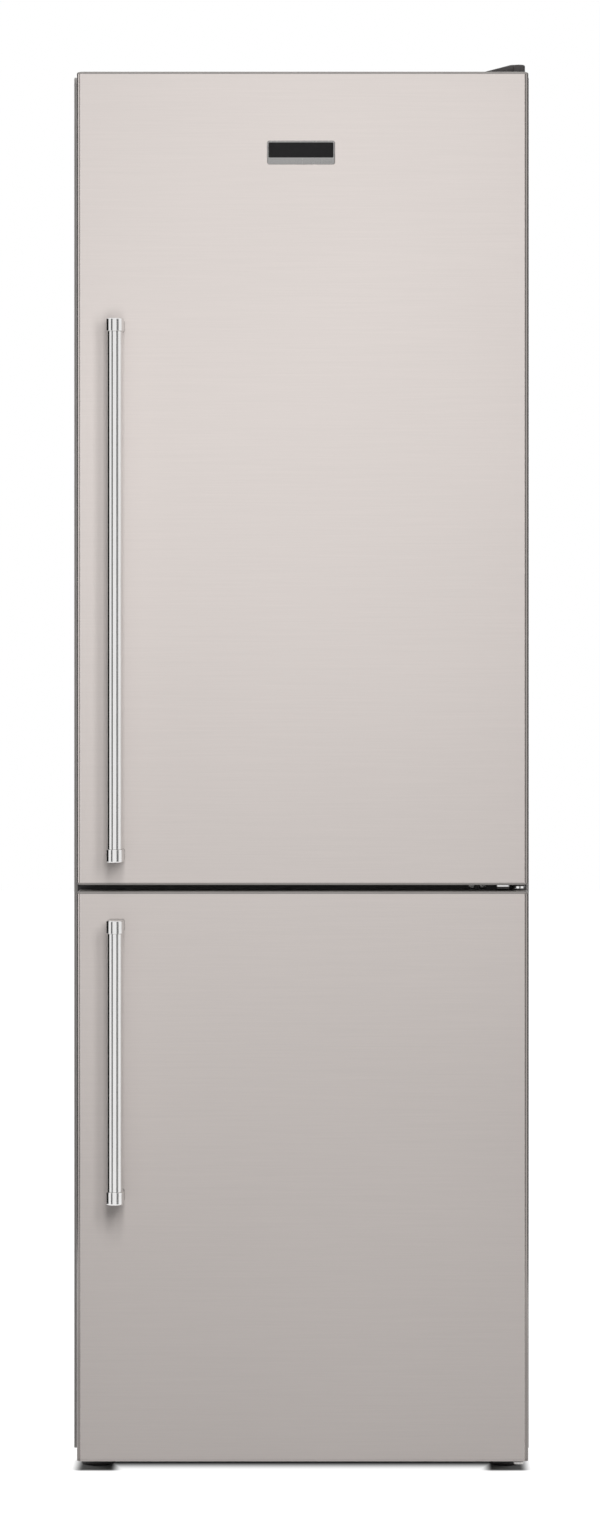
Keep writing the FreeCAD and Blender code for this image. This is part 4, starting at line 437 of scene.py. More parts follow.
def rounded_outline(x0, x1, z0, z1, radius):
    """A rounded rectangle as (x, z) points; radius is one value or four, from the low left corner on."""
    radii = np.broadcast_to(radius, 4)
    corners = [(x0, z0, 180), (x1, z0, 270), (x1, z1, 0), (x0, z1, 90)]
    points = []
    for (x, z, start), r in zip(corners, radii):
        cx = x + (r if x == x0 else -r)
        cz = z + (r if z == z0 else -r)
        turns = np.radians(np.linspace(start, start + 90, CORNER_STEPS + 1))
        points.append(np.stack([cx + r * np.cos(turns), cz + r * np.sin(turns)], 1))
    return np.vstack(points)


def inset(outline, distance):
    """An outline moved inwards: each point goes along the mean of its two edges' normals, over the cosine
    of half the angle between them."""
    back = outline - np.roll(outline, 1, 0)
    ahead = np.roll(outline, -1, 0) - outline
    normals = []
    for edge in (back, ahead):
        length = np.maximum(np.linalg.norm(edge, axis=1, keepdims=True), 1e-12)
        normals.append(np.stack([-edge[:, 1], edge[:, 0]], 1) / length)
    for one, other in ((0, 1), (1, 0)):
        flat = np.linalg.norm((back, ahead)[one], axis=1) < 1e-9
        normals[one][flat] = normals[other][flat]
    mean = normals[0] + normals[1]
    mean /= np.maximum(np.linalg.norm(mean, axis=1, keepdims=True), 1e-9)
    share = np.maximum((mean * normals[0]).sum(1, keepdims=True), 0.5)
    return outline + mean * distance / share


def lifted(outline, level, axis):
    """Outline points in three axes, with the outline's plane square to the axis at a level."""
    flat = np.full(len(outline), level)
    order = {"x": (flat, outline[:, 0], outline[:, 1]), "y": (outline[:, 0], flat, outline[:, 1]),
             "z": (outline[:, 0], outline[:, 1], flat)}
    return np.stack(order[axis], 1)


def slab(outline, low, high, low_round, high_round, axis="y"):
    """An outline between two levels, with rounded edges: the ring at turn a of an edge of radius r is inset
    by r * (1 - sin a) and stands r * (1 - cos a) from the end."""
    turns = np.linspace(0, math.pi / 2, EDGE_STEPS + 1)
    rings = []
    for order, end, way, r in ((turns, low, 1, low_round), (turns[::-1], high, -1, high_round)):
        for a in order:
            level = end + way * r * (1 - math.cos(a))
            rings.append(lifted(inset(outline, r * (1 - math.sin(a))), level, axis))
    points, faces = stacked(rings)
    if axis == "y":
        faces = [face[::-1] for face in faces]
    return points, faces


def frame_sweep(x0, x1, z0, z1, profile):
    """A closed profile of (inset, y) points carried round a rectangle with mitred corners: the point
    (u, y) runs through the rectangle's corners moved in by u."""
    profile = np.asarray(profile, float)
    u, y = profile[:, 0], profile[:, 1]
    rings = [np.stack([x, y, z], 1) for x, z in
             ((x0 + u, z0 + u), (x1 - u, z0 + u), (x1 - u, z1 - u), (x0 + u, z1 - u))]
    return stacked(rings, loop=True)


# Carried-over solids

# How wide each solid's edges are rounded, in millimetres
EDGE_WIDTHS = {
    "air_duct": 0.8, "back_panel": 0.3, "base_pan": 0.6, "bottle_balcony": 1.0, "bottom_hinge": 0.5,
    "compressor_plate": 0.6, "condenser_clips": 0.4,
    "condenser_tube": 0, "condenser_wires": 0, "crisper_drawer": 1.0, "door_balconies": 1.0,
    "door_switch": 0.5, "drip_tray": 0.8, "electrical_box": 1.5, "evaporator": 0,
    "fan_motor": 1.0, "fan_rotor": 0.3, "freezer_door_liner": 2.0,
    "freezer_drawer_lower": 1.0, "freezer_drawer_middle": 1.0, "freezer_drawer_upper": 1.0,
    "freezer_liner": 2.0, "freezer_rear_cover": 1.0, "fridge_door_liner": 2.0,
    "fridge_liner": 2.0, "glass_shelves": 0.4, "light_housing": 1.5, "light_lens": 1.0,
    "middle_hinge": 0.5, "mullion_rail": 0.1, "refrigerant_pipes": 0, "roller_axles": 0.4, "shelf_trims": 0.6,
    "side_panel_left": 0.8, "side_panel_right": 0.8, "top_hinge": 0.5, "top_panel": 0.8,
}


def softened(node, width, slot=None):
    """A copy of a CAD node whose faces are welded and merged where they are flat, with rounded edges."""
    source = NODES[node]
    mesh = source.data.copy()
    shell = bmesh.new()
    shell.from_mesh(mesh)
    bmesh.ops.remove_doubles(shell, verts=shell.verts, dist=WELD)
    bmesh.ops.dissolve_limit(shell, angle_limit=math.radians(FLAT), verts=shell.verts, edges=shell.edges)
    shell.to_mesh(mesh)
    shell.free()
    mesh.polygons.foreach_set("use_smooth", [True] * len(mesh.polygons))
    mesh.set_sharp_from_angle(angle=math.radians(SHARP))
    slot = slot or SLOT_OF[node]
    mesh.materials.clear()
    mesh.materials.append(FINISHES[slot])
    made = bpy.data.objects.new(node + "_shaped", mesh)
    bpy.context.scene.collection.objects.link(made)
    made.matrix_world = source.matrix_world
    if width:
        bevel = made.modifiers.new("edges", "BEVEL")
        bevel.width = width / 1000
        bevel.segments = BEVEL_STEPS
        bevel.limit_method = "ANGLE"
        bevel.angle_limit = math.radians(SHARP)
        bevel.harden_normals = True
        bevel.miter_outer = "MITER_ARC"
    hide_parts(node)
    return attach(made, BODY_OF[node])


# Small turned pieces


def loose_parts(node):
    """The low and high corners of each solid of a CAD node."""
    mesh = NODES[node].data
    shell = bmesh.new()
    shell.from_mesh(mesh)
    shell.transform(NODES[node].matrix_world)
    bmesh.ops.remove_doubles(shell, verts=shell.verts, dist=WELD)
    left = set(shell.verts)
    boxes = []
    while left:
        reached = {left.pop()}
        edge = list(reached)
        while edge:
            vert = edge.pop()
            for link in vert.link_edges:
                other = link.other_vert(vert)
                if other not in reached:
                    reached.add(other)
                    edge.append(other)
        left -= reached
        spots = np.array([v.co for v in reached])
        boxes.append((Vector(spots.min(0)), Vector(spots.max(0))))
    shell.free()
    return boxes


def millimetres(*pairs):
    """Points of a profile, given in millimetres, as (radius, level) in metres."""
    return [(r / 1000, t / 1000) for r, t in pairs]


def cross(turns, radius, t):
    """Four-armed recess: inside its reach the radius goes as 1 / (1 + depth |sin 2a|)."""
    reach, depth = 0.0024, 2.4
    return 1 / (1 + depth * np.abs(np.sin(2 * turns))) if radius < reach else np.ones(len(turns))


def screws():
    """Pan heads with a cross recess on tapered shanks. The screws over the top level point down, those under
    the base level point up, and the rest point into the cabinet's front."""
    top_level, base_level, head_tall = 1.8, 0.05, 0.002
    head = millimetres((4.4, 0), (4.5, 0.15), (4.5, 0.6), (4.25, 1.15), (3.7, 1.58), (2.9, 1.86), (2.5, 1.95),
                       (2.3, 1.95), (1.9, 1.1), (0.9, 0.6))
    shank = millimetres((2.2, 0), (2.45, -0.4), (2.45, -9.5), (1.0, -12))
    shells = []
    for low, high in loose_parts("hinge_screws"):
        middle = (low + high) / 2
        if high.z > top_level:
            seat, way = (middle.x, middle.y, high.z - head_tall), (0, 0, 1)
        elif low.z < base_level:
            seat, way = (middle.x, middle.y, low.z + head_tall), (0, 0, -1)
        else:
            seat, way = (middle.x, low.y + head_tall, middle.z), (0, -1, 0)
        shells += [lathe(seat, way, head, 48, cross), lathe(seat, way, shank, 24)]
    piece("hinge_screw_heads", "cabinet", "hinge_steel", *joined(*shells), stands_for=("hinge_screws",))


def feet():
    """Screw feet: a ribbed pad, its cone and a threaded stem."""
    ribs, rib_deep, rim = 36, 0.004, 0.0215
    crest, root, pitch = 0.0050, 0.0044, 0.0015
    for node in ("foot_left", "foot_right"):
        low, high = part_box(node)
        spot = ((low.x + high.x) / 2, (low.y + high.y) / 2, low.z)
        section = millimetres((19.5, 0), (21.2, 0.3), (21.9, 1.2), (21.9, 5.6), (21.4, 6.5), (20.4, 7.1),
                              (13.6, 11.6), (12.6, 12), (5, 12))
        pad = lathe(spot, (0, 0, 1), section, 144,
                    lambda a, r, t: 1 + (rib_deep * np.cos(ribs * a) - rib_deep if r > rim else 0 * a))
        turns = np.arange(section[-1][1], high.z - low.z, pitch / 2)
        thread = [(crest if i % 2 else root, z) for i, z in enumerate(turns)]
        stem = lathe(spot, (0, 0, 1), thread, 36)
        piece(node + "_turned", BODY_OF[node], "dark_plastic", *joined(pad, stem), stands_for=(node,))


def rollers():
    """Nylon wheels: a rim with soft shoulders and a web set in from the hub and the rim, round a bore."""
    for node in ("roller_left", "roller_right"):
        low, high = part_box(node)
        middle = (low + high) / 2
        half = [(5.2, 8), (6.8, 8), (7.2, 7.6), (7.4, 5.4), (10.6, 5.4), (10.9, 7.4), (11.4, 8),
                (12.8, 7.9), (13.7, 7.2), (14, 6)]
        section = millimetres(*half, *[(r, -t) for r, t in half[::-1]])
        wheel = lathe(tuple(middle), (1, 0, 0), section, 96, loop=True)
        piece(node + "_wheel", BODY_OF[node], "roller_nylon", *wheel, stands_for=(node,))


def compressor():
    """Welded can with domed ends, the bead round its seam, its foot plate and the terminal post. The domes
    run as r = R - D (1 - cos a), z = D (1 - sin a); the bead's radius waves a little round the can."""
    low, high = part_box("compressor")
    radius, dome, plate = 0.072, 0.034, 0.003
    ripples, ripple, bead_inside = 120, 0.0026, 0.003
    plate_half_x, plate_half_y, plate_corner = 0.095, 0.055, 0.016
    post_thick, post_tip, post_sunk = 0.011, 0.009, 0.008
    feet_low, feet_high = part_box("compressor_grommets")
    x, y = (feet_low.x + feet_high.x) / 2, (low.y + high.y) / 2
    base = low.z + plate
    turns = np.linspace(math.pi / 2, 0, 9)
    bottom = [(radius - dome * (1 - math.cos(a)), base + dome * (1 - math.sin(a))) for a in turns]
    top = [(r, high.z + base - z) for r, z in bottom[::-1]]
    middle = (base + high.z) / 2
    bead = [(radius + out, middle + up) for out, up in millimetres(
        (0, -1), (2.6, -0.2), (3.7, 1.2), (3.7, 3.8), (2.2, 5.0), (0.6, 5.6), (0.6, 10), (0, 10.8))]
    can = lathe((x, y, 0), (0, 0, 1), bottom + bead + top, 120,
                lambda a, r, t: 1 + (ripple * np.cos(ripples * a) if r > radius + bead_inside else 0 * a))
    outline = rounded_outline(x - plate_half_x, x + plate_half_x, y - plate_half_y, y + plate_half_y,
                              plate_corner)
    foot = slab(outline, low.z, base, 0.0006, 0.0012, axis="z")
    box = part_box("electrical_box")
    root = x - radius + post_sunk
    reach = root - box[1].x
    post = lathe((root, y, (box[0].z + box[1].z) / 2), (-1, 0, 0),
                 [(post_thick, 0), (post_thick, reach), (post_tip, reach)], 48)
    piece("compressor_can", "cabinet", "black_enamel", *joined(can, foot, post), stands_for=("compressor",))
    shells = []
    rubber = millimetres((9.6, 0), (10.8, 0.5), (11, 1.4), (11, 3.2), (9.4, 4.2), (9.4, 5.4), (11, 6.4),
                         (11, 8.2), (9.6, 9.2), (9.6, 10.6), (10.8, 11.6), (10.6, 12.6), (9.4, 13))
    for part_low, part_high in loose_parts("compressor_grommets"):
        spot = (part_low + part_high) / 2
        shells.append(lathe((spot.x, spot.y, part_low.z), (0, 0, 1), rubber, 48))
    piece("grommets", "cabinet", "grommet_rubber", *joined(*shells), stands_for=("compressor_grommets",))


def drier():
    """Drier: a can swaged down to the pipe at both ends."""
    low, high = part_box("drier_filter")
    tall = (high.z - low.z) * 1000
    ends = [(3.4, 0), (3.6, 5), (4.6, 7), (7.6, 11), (8.8, 13.5), (9, 16)]
    profile = millimetres(*ends, *[(r, tall - z) for r, z in ends[::-1]])
    middle = (low + high) / 2
    piece("drier_can", "cabinet", "copper", *lathe((middle.x, middle.y, low.z), (0, 0, 1), profile, 64),
          stands_for=("drier_filter",))


def knob():
    """Thermostat knob: grip flutes, a slightly domed face, its stem, and a dark pointer on the face."""
    low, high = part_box("thermostat_knob")
    flutes, flute_deep, grip, skirt = 12, 0.09, 0.012, 0.011
    half_wide, start, end, corner = 0.0011, 0.0015, 0.0115, 0.0009
    spot = ((low.x + high.x) / 2, high.y, (low.z + high.z) / 2)
    section = millimetres((2.9, 0), (2.9, 8), (13.2, 8.05), (13.8, 8.5), (13.8, 10.5), (13.6, 11.2), (13.4, 18),
                          (12.9, 18.9), (11.8, 19.3), (6, 19.5))

    def fluted(a, r, t):
        deep = flute_deep if r > grip and t > skirt else 0
        return 1 - deep * np.maximum(np.cos(flutes * a), 0) ** 3

    turned = lathe(spot, (0, -1, 0), section, 144, fluted)
    outline = rounded_outline(spot[0] - half_wide, spot[0] + half_wide, spot[2] + start, spot[2] + end, corner)
    pointer = slab(outline, low.y, low.y + 0.002, 0.0004, 0.0001)
    body = BODY_OF["thermostat_knob"]
    piece("thermostat_dial", body, "white_plastic", *turned, stands_for=("thermostat_knob",))
    piece("thermostat_pointer", body, "dark_plastic", *pointer)


# Doors

# The sheet's thickness, the end caps' thickness, how far the caps' ends are drawn in, and how finely the
# doors' corners are cut
SHEET = 0.0008
CAP_THICK = 0.003
CAP_DRAWN = 0.0045
DOOR_STEPS = 10


def door_outline(x0, x1, y0, y1):
    """The door from above as (x, y) points, anticlockwise from the front left: the front corners run
    through (EDGE_ACROSS cos a, EDGE_DEEP sin a), the back ones through EDGE_BACK (cos a, sin a)."""
    turns = np.linspace(0, math.pi / 2, DOOR_STEPS + 1)
    points = []
    for x, y, side, across, deep in (
        (x0, y0, 180, EDGE_ACROSS, EDGE_DEEP), (x1, y0, 270, EDGE_ACROSS, EDGE_DEEP),
        (x1, y1, 0, EDGE_BACK, EDGE_BACK), (x0, y1, 90, EDGE_BACK, EDGE_BACK),
    ):
        a = turns + math.radians(side)
        cx = x + (across if x == x0 else -across)
        cy = y + (deep if y == y0 else -deep)
        points.append(np.stack([cx + across * np.cos(a), cy + deep * np.sin(a)], 1))
    return np.vstack(points)


def door_skin(door):
    """The folded sheet round the door's front and sides, open at the back: its outline from above, as thick
    as the sheet, carried up the door's height."""
    low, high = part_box(door + "_door_skin")
    around = door_outline(low.x, high.x, low.y, high.y)
    steps = len(around) // 4
    ends = np.array([[low.x, high.y], [high.x, high.y]])
    outer = np.vstack([ends[:1], around[:2 * steps], ends[1:]])
    thin = np.array([SHEET, 0])
    inner = np.vstack([ends[:1] + thin, inset(around, SHEET)[:2 * steps], ends[1:] - thin])
    section = np.vstack([outer, inner[::-1]])
    rings = [lifted(section, low.z, "z"), lifted(section, high.z, "z")]
    piece(door + "_door_sheet", door + "_door", "door_finish", *stacked(rings, closed_ends=False),
          stands_for=(door + "_door_skin",), crease=40)


def end_caps(door):
    """The caps over the door's top and bottom, rounded where they meet its sides, with a thin lip. At turn a
    the outer edge's ring is drawn in by CAP_DRAWN (1 - sin a) in x and across (1 - sin a) in y. The freezer
    door's bottom cap is barely rounded and looks like the door."""
    lip_in, lip_tall = 0.0004, 0.0003
    bush, overlap = 0.0075, 0.0004
    low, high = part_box(door + "_door_skin")
    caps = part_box(door + "_door_end_caps")
    outline = door_outline(low.x, high.x, low.y, high.y)
    middle = np.array([(low.x + high.x) / 2, (low.y + high.y) / 2])
    half = np.array([(high.x - low.x) / 2, (high.y - low.y) / 2])
    for name, seam, way in (("bottom", caps[0].z + CAP_THICK, -1), ("top", caps[1].z - CAP_THICK, 1)):
        rings = [lifted(inset(outline, lip_in), seam, "z"), lifted(outline, seam + way * lip_tall, "z")]
        plain = (door, name) == ("freezer", "bottom")
        slot = "door_finish" if plain else "cap_plastic"
        round_share, across = (0.2, 0.0006) if plain else (0.7, 0.0012)
        for a in np.linspace(math.pi / 2, 0, 7)[1:]:
            drawn = 1 - np.array([CAP_DRAWN, across]) * (1 - math.sin(a)) / half
            level = seam + way * CAP_THICK * (1 - round_share + round_share * math.cos(a))
            rings.append(lifted(middle + (outline - middle) * drawn, level, "z"))
        foot = min(seam, seam + way * CAP_THICK) - overlap
        ring = lathe((HINGE_X, HINGE_Y, foot), (0, 0, 1), [(bush, 0), (bush, CAP_THICK + 2 * overlap)], 48)
        piece(f"{door}_door_{name}_cap", door + "_door", slot, *joined(stacked(rings), ring),
              stands_for=(door + "_door_end_caps",))


def handle(door):
    """Bright tube between two thicker turned ends, each on a rounded post to the door."""
    low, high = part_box(door + "_handle")
    x = (low.x + high.x) / 2
    radius = (high.x - low.x) / 2
    y = low.y + radius
    body = door + "_door"
    tube, end_tall, groove = 0.01, 0.017, 0.0006
    post_half, post_corner = (0.011, 0.008), 0.003
    long = high.z - low.z - end_tall * 2
    bar = [(tube - groove, 0), (tube, groove), (tube, long - groove), (tube - groove, long)]
    piece(f"{door}_handle_bar", body, "handle_metal", *lathe((x, y, low.z + end_tall), (0, 0, 1), bar, 96),
          stands_for=(door + "_handle",))
    turned = [(radius + out, up) for out, up in (
        (-0.0016, 0), (-0.0009, 0.0002), (-0.0002, 0.0009), (0, 0.0016), (0, 0.002),
        (0, end_tall - 0.0003), (-0.0003, end_tall))]
    post = rounded_outline(x - post_half[0], x + post_half[0], 0, post_half[1] * 2, post_corner)
    for name, foot, way in (("bottom", low.z, 1), ("top", high.z, -1)):
        end = lathe((x, y, foot), (0, 0, way), turned, 96)
        outline = post + np.array([0, foot + way * end_tall / 2 - post_half[1]])
        arm = slab(outline, y, high.y, 0.0002, 0.0006)
        piece(f"{door}_handle_{name}_end", body, "handle_metal", *end)
        piece(f"{door}_handle_{name}_post", body, "plate_metal", *arm)


def hinge_cover():
    """Moulded cover over the top hinge: a wedge that rises to a flat end, with an upright round boss over the
    pin at its front. From the front edge the wedge's height goes as s + (1 - s) (1 - (1 - t)^2), s being its
    share at the front and t running from 0 to 1 over the rise."""
    low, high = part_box("hinge_cover")
    tall = high.z - low.z
    thin_end, bend_deep, bend_before, bend_long, corner = 0.0022, 0.0007, 0.003, 0.005, 0.0026
    flat_long, boss_ahead, rise, front_share = 0.0173, 0.0045, 0.045, 0.8
    bend = high.x - flat_long - bend_before
    section = [(low.x, 0.0), (low.x, thin_end), (bend, tall - bend_deep)]
    section += [(bend + bend_long * t, tall - bend_deep * (1 - t) ** 2) for t in np.linspace(0.2, 1, 5)]
    section += [(high.x - corner * (1 - math.cos(a)), tall - corner * (1 - math.sin(a)))
                for a in np.linspace(math.pi / 2, 0, 7)]
    section = np.array([*section, (high.x, 0.0)])
    middle = np.array([(low.x + high.x) / 2, 0])
    half = np.array([(high.x - low.x) / 2, tall])
    edge = millimetres((0, 2.2), (0.4, 1.1), (1.2, 0.3), (2.6, 0))
    front = low.y + boss_ahead
    levels = [(front + back, drawn) for back, drawn in edge]
    levels += [(front + back, 0) for back in np.linspace(0.006, rise, 8)]
    levels += [(high.y - back, drawn) for back, drawn in edge[::-1]]
    rings = []
    for y, drawn in levels:
        t = min((y - front) / rise, 1)
        ring = middle + (section - middle) * (1 - drawn / half)
        height = ring[:, 1] * (front_share + (1 - front_share) * (1 - (1 - t) ** 2))
        rings.append(np.stack([ring[:, 0], np.full(len(ring), y), low.z + height], 1))
    radius = high.x - HINGE_X
    top = tall * front_share
    upper = millimetres((0, -1.6), (-0.4, -0.7), (-1.2, -0.1), (-2, 0.2))
    boss = lathe((HINGE_X, HINGE_Y, low.z), (0, 0, 1),
                 [(radius, 0), *[(radius + out, top + up) for out, up in upper]], 72)
    piece("top_hinge_cover", "cabinet", "dark_plastic", *joined(stacked(rings), boss),
          stands_for=("hinge_cover",), crease=40)


def middle_hinge_trim():
    """The bright collar round the plate's end, where the pin between the doors is, and the light tab on the
    plate beside it."""
    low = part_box("middle_hinge")[0]
    over_cap = 0.0030
    tab_left, tab_right, tab_ahead, tab_back, tab_corner = 0.0291, 0.0126, 0.0001, 0.030, 0.0015
    tab_low, tab_high, tab_edge = 0.0026, 0.0052, 0.0003
    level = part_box("freezer_door_end_caps")[1].z + over_cap
    ring = millimetres((4.8, -0.3), (8, -0.3), (8.4, 0.1), (8.4, 2.9), (8, 3.3), (4.8, 3.3))
    collar = lathe((HINGE_X, HINGE_Y, level), (0, 0, 1), ring, 64)
    piece("middle_hinge_collar", "cabinet", "handle_metal", *collar)
    outline = rounded_outline(HINGE_X - tab_left, HINGE_X - tab_right, low.y - tab_ahead, low.y + tab_back,
                              tab_corner)
    tab = slab(outline, level + tab_low, level + tab_high, tab_edge, tab_edge, axis="z")
    piece("middle_hinge_tab", "cabinet", "handle_metal", *tab)


def painted_gap_shade():
    """Painted shade: dark strips over the side panels' flanges where they show through the gap between the
    doors, standing for the deep shade in that gap.
    """
    low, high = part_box("mullion_rail")
    left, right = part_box("side_panel_left")[0].x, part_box("side_panel_right")[1].x
    from_left, from_right, from_ends, corner, thick = 0.0045, 0.0035, 0.0075, 0.002, 0.0005
    shells = []
    for x0, x1 in ((left + from_left, low.x), (high.x, right - from_right)):
        outline = rounded_outline(x0, x1, low.z + from_ends, high.z - from_ends, corner)
        shells.append(slab(outline, low.y - thick, low.y, 0.0002, 0))
    piece("painted_gap_shade_strips", "cabinet", "dark_plastic", *joined(*shells))


def badge():
    """Thin bright rim and band with a glossy dark field, blank."""
    low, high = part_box("badge_frame")
    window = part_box("badge_inset")
    corner, window_corner, band_corner = 0.003, 0.0012, 0.001
    band_in, band_low, band_high, band_ahead = 0.004, 0.0018, 0.0062, 0.00025
    outer = rounded_outline(low.x, high.x, low.z, high.z, corner)
    hole = rounded_outline(window[0].x, window[1].x, window[0].z, window[1].z, window_corner)
    rings = []
    for y, grow in ((high.y, 0), (low.y + 0.0006, 0), (low.y + 0.00015, 0.0002), (low.y, 0.0007)):
        rings.append(lifted(inset(outer, grow), y, "y"))
    for y, grow in ((low.y, -0.0005), (low.y + 0.0002, -0.0001), (low.y + 0.0012, 0)):
        rings.append(lifted(inset(hole, grow), y, "y"))
    points, faces = stacked(rings, closed_ends=False)
    piece("badge_rim", "fridge_door", "plate_metal", points, faces, stands_for=("badge_frame",))
    field = slab(inset(hole, -0.0001), window[0].y, high.y, 0.0003, 0.0001)
    piece("badge_field", "fridge_door", "plate_inset", *field, stands_for=("badge_inset",))
    outline = rounded_outline(low.x + band_in, high.x - band_in, low.z + band_low, low.z + band_high,
                              band_corner)
    band = slab(outline, low.y - band_ahead, low.y + 0.001, 0.0002, 0.0001)
    piece("badge_band", "fridge_door", "plate_metal", *band)


def gasket(door):
    """Soft seal: foot, two bellows folds, and the magnet pocket, welded with mitred corners. Its left half is
    given as metres from the edge and shares of the depth."""
    low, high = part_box(door + "_door_gasket")
    depth, width = high.y - low.y, 0.016
    half = [
        (0.0, 0.0), (0.0, 0.12), (0.0016, 0.17), (0.0034, 0.22), (0.0042, 0.30), (0.0032, 0.38),
        (0.0030, 0.44), (0.0042, 0.50), (0.0022, 0.56), (0.0014, 0.64), (0.0014, 0.90), (0.0020, 0.98),
        (0.0028, 1.0),
    ]
    left = [(u, low.y + share * depth) for u, share in half]
    right = [(width - u, y) for u, y in left[::-1]]
    shell = frame_sweep(low.x, high.x, low.z, high.z, left + right)
    piece(f"{door}_door_seal", door + "_door", "gasket_rubber", *shell,
          stands_for=(door + "_door_gasket",), crease=50)


# Studio


def area_lamp(name, place, target, width, height, watts):
    """A rectangular lamp turned to its target, which no metal mirrors."""
    data = bpy.data.lights.new(name, "AREA")
    data.shape = "RECTANGLE"
    data.size = width
    data.size_y = height
    data.energy = watts
    made = bpy.data.objects.new(name, data)
    made.location = place
    aim = Vector(target) - Vector(place)
    made.rotation_euler = aim.to_track_quat("-Z", "Y").to_euler()
    made.visible_glossy = False
    bpy.context.scene.collection.objects.link(made)


def seen(tree, mirrored=1.0):
    """1 for the camera and see-through rays, the given share for glossy ones, and 0 for the rest."""
    path = tree.nodes.new("ShaderNodeLightPath")
    total = path.outputs["Is Camera Ray"]
    for ray, share in (("Is Glossy Ray", mirrored), ("Is Transmission Ray", 1.0)):
        part = tree.nodes.new("ShaderNodeMath")
        part.operation = "MULTIPLY"
        part.inputs[1].default_value = share
        tree.links.new(path.outputs[ray], part.inputs[0])
        most = tree.nodes.new("ShaderNodeMath")
        most.operation = "MAXIMUM"
        tree.links.new(total, most.inputs[0])
        tree.links.new(part.outputs[0], most.inputs[1])
        total = most.outputs[0]
    return total


def world(fill):
    """White all round for the camera and for mirrors, and a faint light on everything else."""
    made = bpy.data.worlds.new("studio")
    bpy.context.scene.world = made
    made.use_nodes = True
    back = made.node_tree.nodes["Background"]
    back.inputs["Color"].default_value = (1, 1, 1, 1)
    mix = made.node_tree.nodes.new("ShaderNodeMapRange")
    mix.inputs["To Min"].default_value = fill
    made.node_tree.links.new(seen(made.node_tree), mix.inputs["Value"])
    made.node_tree.links.new(mix.outputs["Result"], back.inputs["Strength"])


def painted_floor_shadows():
    """Painted shadows on the floor, as low and high corners and the breadth of the soft edge: under the
    cabinet, and round each front foot, reaching out ahead of it."""
    from_sides, from_front, from_back, soft = 0.055, 0.042, 0.05, 0.062
    foot_in, foot_ahead, foot_soft = 0.004, 0.030, 0.018
    low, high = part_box("base_pan")
    yield (low.x + from_sides, low.y + from_front), (high.x - from_sides, high.y - from_back), soft
    for foot in ("foot_left", "foot_right"):
        low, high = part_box(foot)
        yield (low.x + foot_in, low.y - foot_ahead), (high.x - foot_in, high.y), foot_soft


def off_box(s, corner, other, soft):
    """The floor's glow round a painted shadow box: from 0 on the box to FLOOR_GLOW at the soft edge's end,
    going by how far off the box a place is, the length of max(|place - middle| - half, 0)."""
    low, high = np.array([*corner, -1.0]), np.array([*other, 1.0])
    value = s.place
    for operation, other_value in (
        ("SUBTRACT", (low + high) / 2), ("ABSOLUTE", None), ("SUBTRACT", (high - low) / 2),
        ("MAXIMUM", np.zeros(3)), ("LENGTH", None),
    ):
        step = s.node("ShaderNodeVectorMath", operation=operation)
        s.link(value, step.inputs[0])
        if other_value is not None:
            step.inputs[1].default_value = other_value
        value = step.outputs["Value" if operation == "LENGTH" else "Vector"]
    out = s.range(value, 0.0, FLOOR_GLOW, 0.0, soft)
    out.node.interpolation_type = "SMOOTHSTEP"
    return out


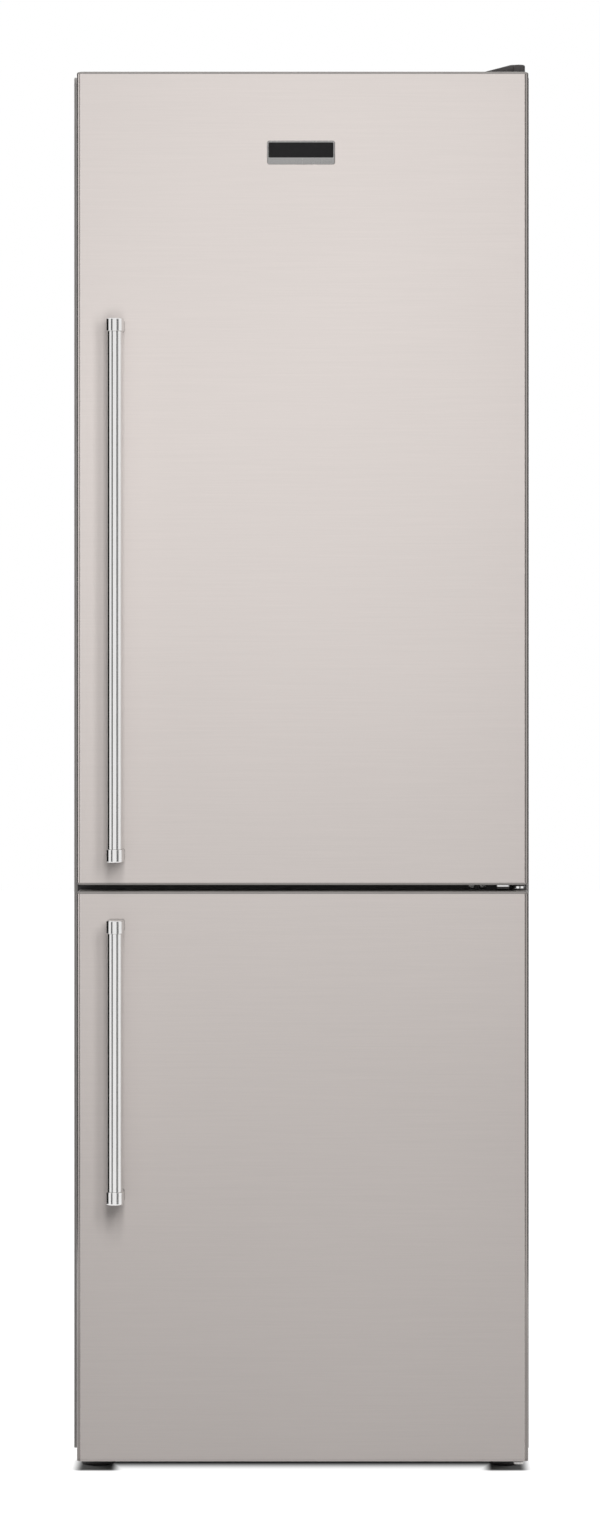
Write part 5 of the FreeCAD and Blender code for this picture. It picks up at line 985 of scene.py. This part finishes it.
def floor():
    """A pale floor that looks white where nothing shades it. Its shadow is partly real, from the lamps, and
    partly painted: its own glow is turned down under the cabinet and round the front feet.
    """
    mesh = bpy.data.meshes.new("floor")
    corners = [(x * FLOOR_REACH, y * FLOOR_REACH, 0) for x, y in ((-1, -1), (1, -1), (1, 1), (-1, 1))]
    mesh.from_pydata(corners, [], [(0, 1, 2, 3)])
    made = bpy.data.objects.new("floor", mesh)
    bpy.context.scene.collection.objects.link(made)
    s = Shader("floor")
    colour = s.blend(s.range(s.noise(3.0), 0, 1), (0.19, 0.19, 0.19), (0.21, 0.21, 0.21))
    s.link(colour, s.surface.inputs["Base Color"])
    # Painted shadows: the floor's glow is turned down under the cabinet and round the front feet
    under, *feet_places = painted_floor_shadows()
    glow_past_painted_shadows = off_box(s, *under)
    for place in feet_places:
        glow_past_painted_shadows = s.math("MINIMUM", glow_past_painted_shadows, off_box(s, *place))
    glow = s.math("MULTIPLY", seen(s.tree, FLOOR_MIRRORED), glow_past_painted_shadows)
    s.link(glow, s.surface.inputs["Emission Strength"])
    s.set(Roughness=0.9, Emission_Color=(1, 1, 1, 1))
    mesh.materials.append(s.material)


def flag(name, azimuth, width, level):
    """An upright card that only bright metal mirrors, level as bright as the white around it. It stands at an
    azimuth from the fridge handle and faces it."""
    handle_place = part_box("fridge_handle")[0]
    turn = math.radians(azimuth)
    ahead = Vector((math.sin(turn), -math.cos(turn), 0)) * FLAG_DISTANCE
    foot = Vector((handle_place.x, handle_place.y, FLAG_FOOT)) + ahead
    aside = Vector((math.cos(turn), math.sin(turn), 0)) * width / 2
    low, high = foot - aside, foot + aside
    up = Vector((0, 0, FLAG_HEIGHT))
    mesh = bpy.data.meshes.new(name)
    mesh.from_pydata([low, high, high + up, low + up], [], [(0, 1, 2, 3)])
    made = bpy.data.objects.new(name, mesh)
    bpy.context.scene.collection.objects.link(made)
    s = Shader(name)
    colour = s.blend(s.range(s.noise(2.0), 0, 1), (0.98, 0.98, 0.98), (1, 1, 1))
    s.link(colour, s.surface.inputs["Emission Color"])
    s.set(Base_Color=(0, 0, 0, 1), Roughness=1.0, Emission_Strength=level)
    mesh.materials.append(s.material)
    made.visible_camera = False
    made.visible_diffuse = False
    made.visible_shadow = False
    made.visible_transmission = False


def studio():
    """The room: its white, the floor, the lamps and the cards."""
    bpy.context.scene.view_settings.view_transform = "Standard"
    world(WORLD_FILL)
    floor()
    for lamp in LAMPS:
        area_lamp(*lamp)
    for card in FLAGS:
        flag(*card)


finish_nodes()
for side in ("fridge", "freezer"):
    door_skin(side)
    end_caps(side)
    handle(side)
    gasket(side)
badge()
screws()
feet()
rollers()
compressor()
drier()
knob()
hinge_cover()
middle_hinge_trim()
painted_gap_shade()
# The mullion rail and the middle hinge take dark plastic instead of their slots' finish: painted shade for the
# deep gap between the doors
for name, breadth in EDGE_WIDTHS.items():
    softened(name, breadth, "dark_plastic" if name in ("mullion_rail", "middle_hinge") else None)
camera()
studio()
bpy.context.view_layer.update()
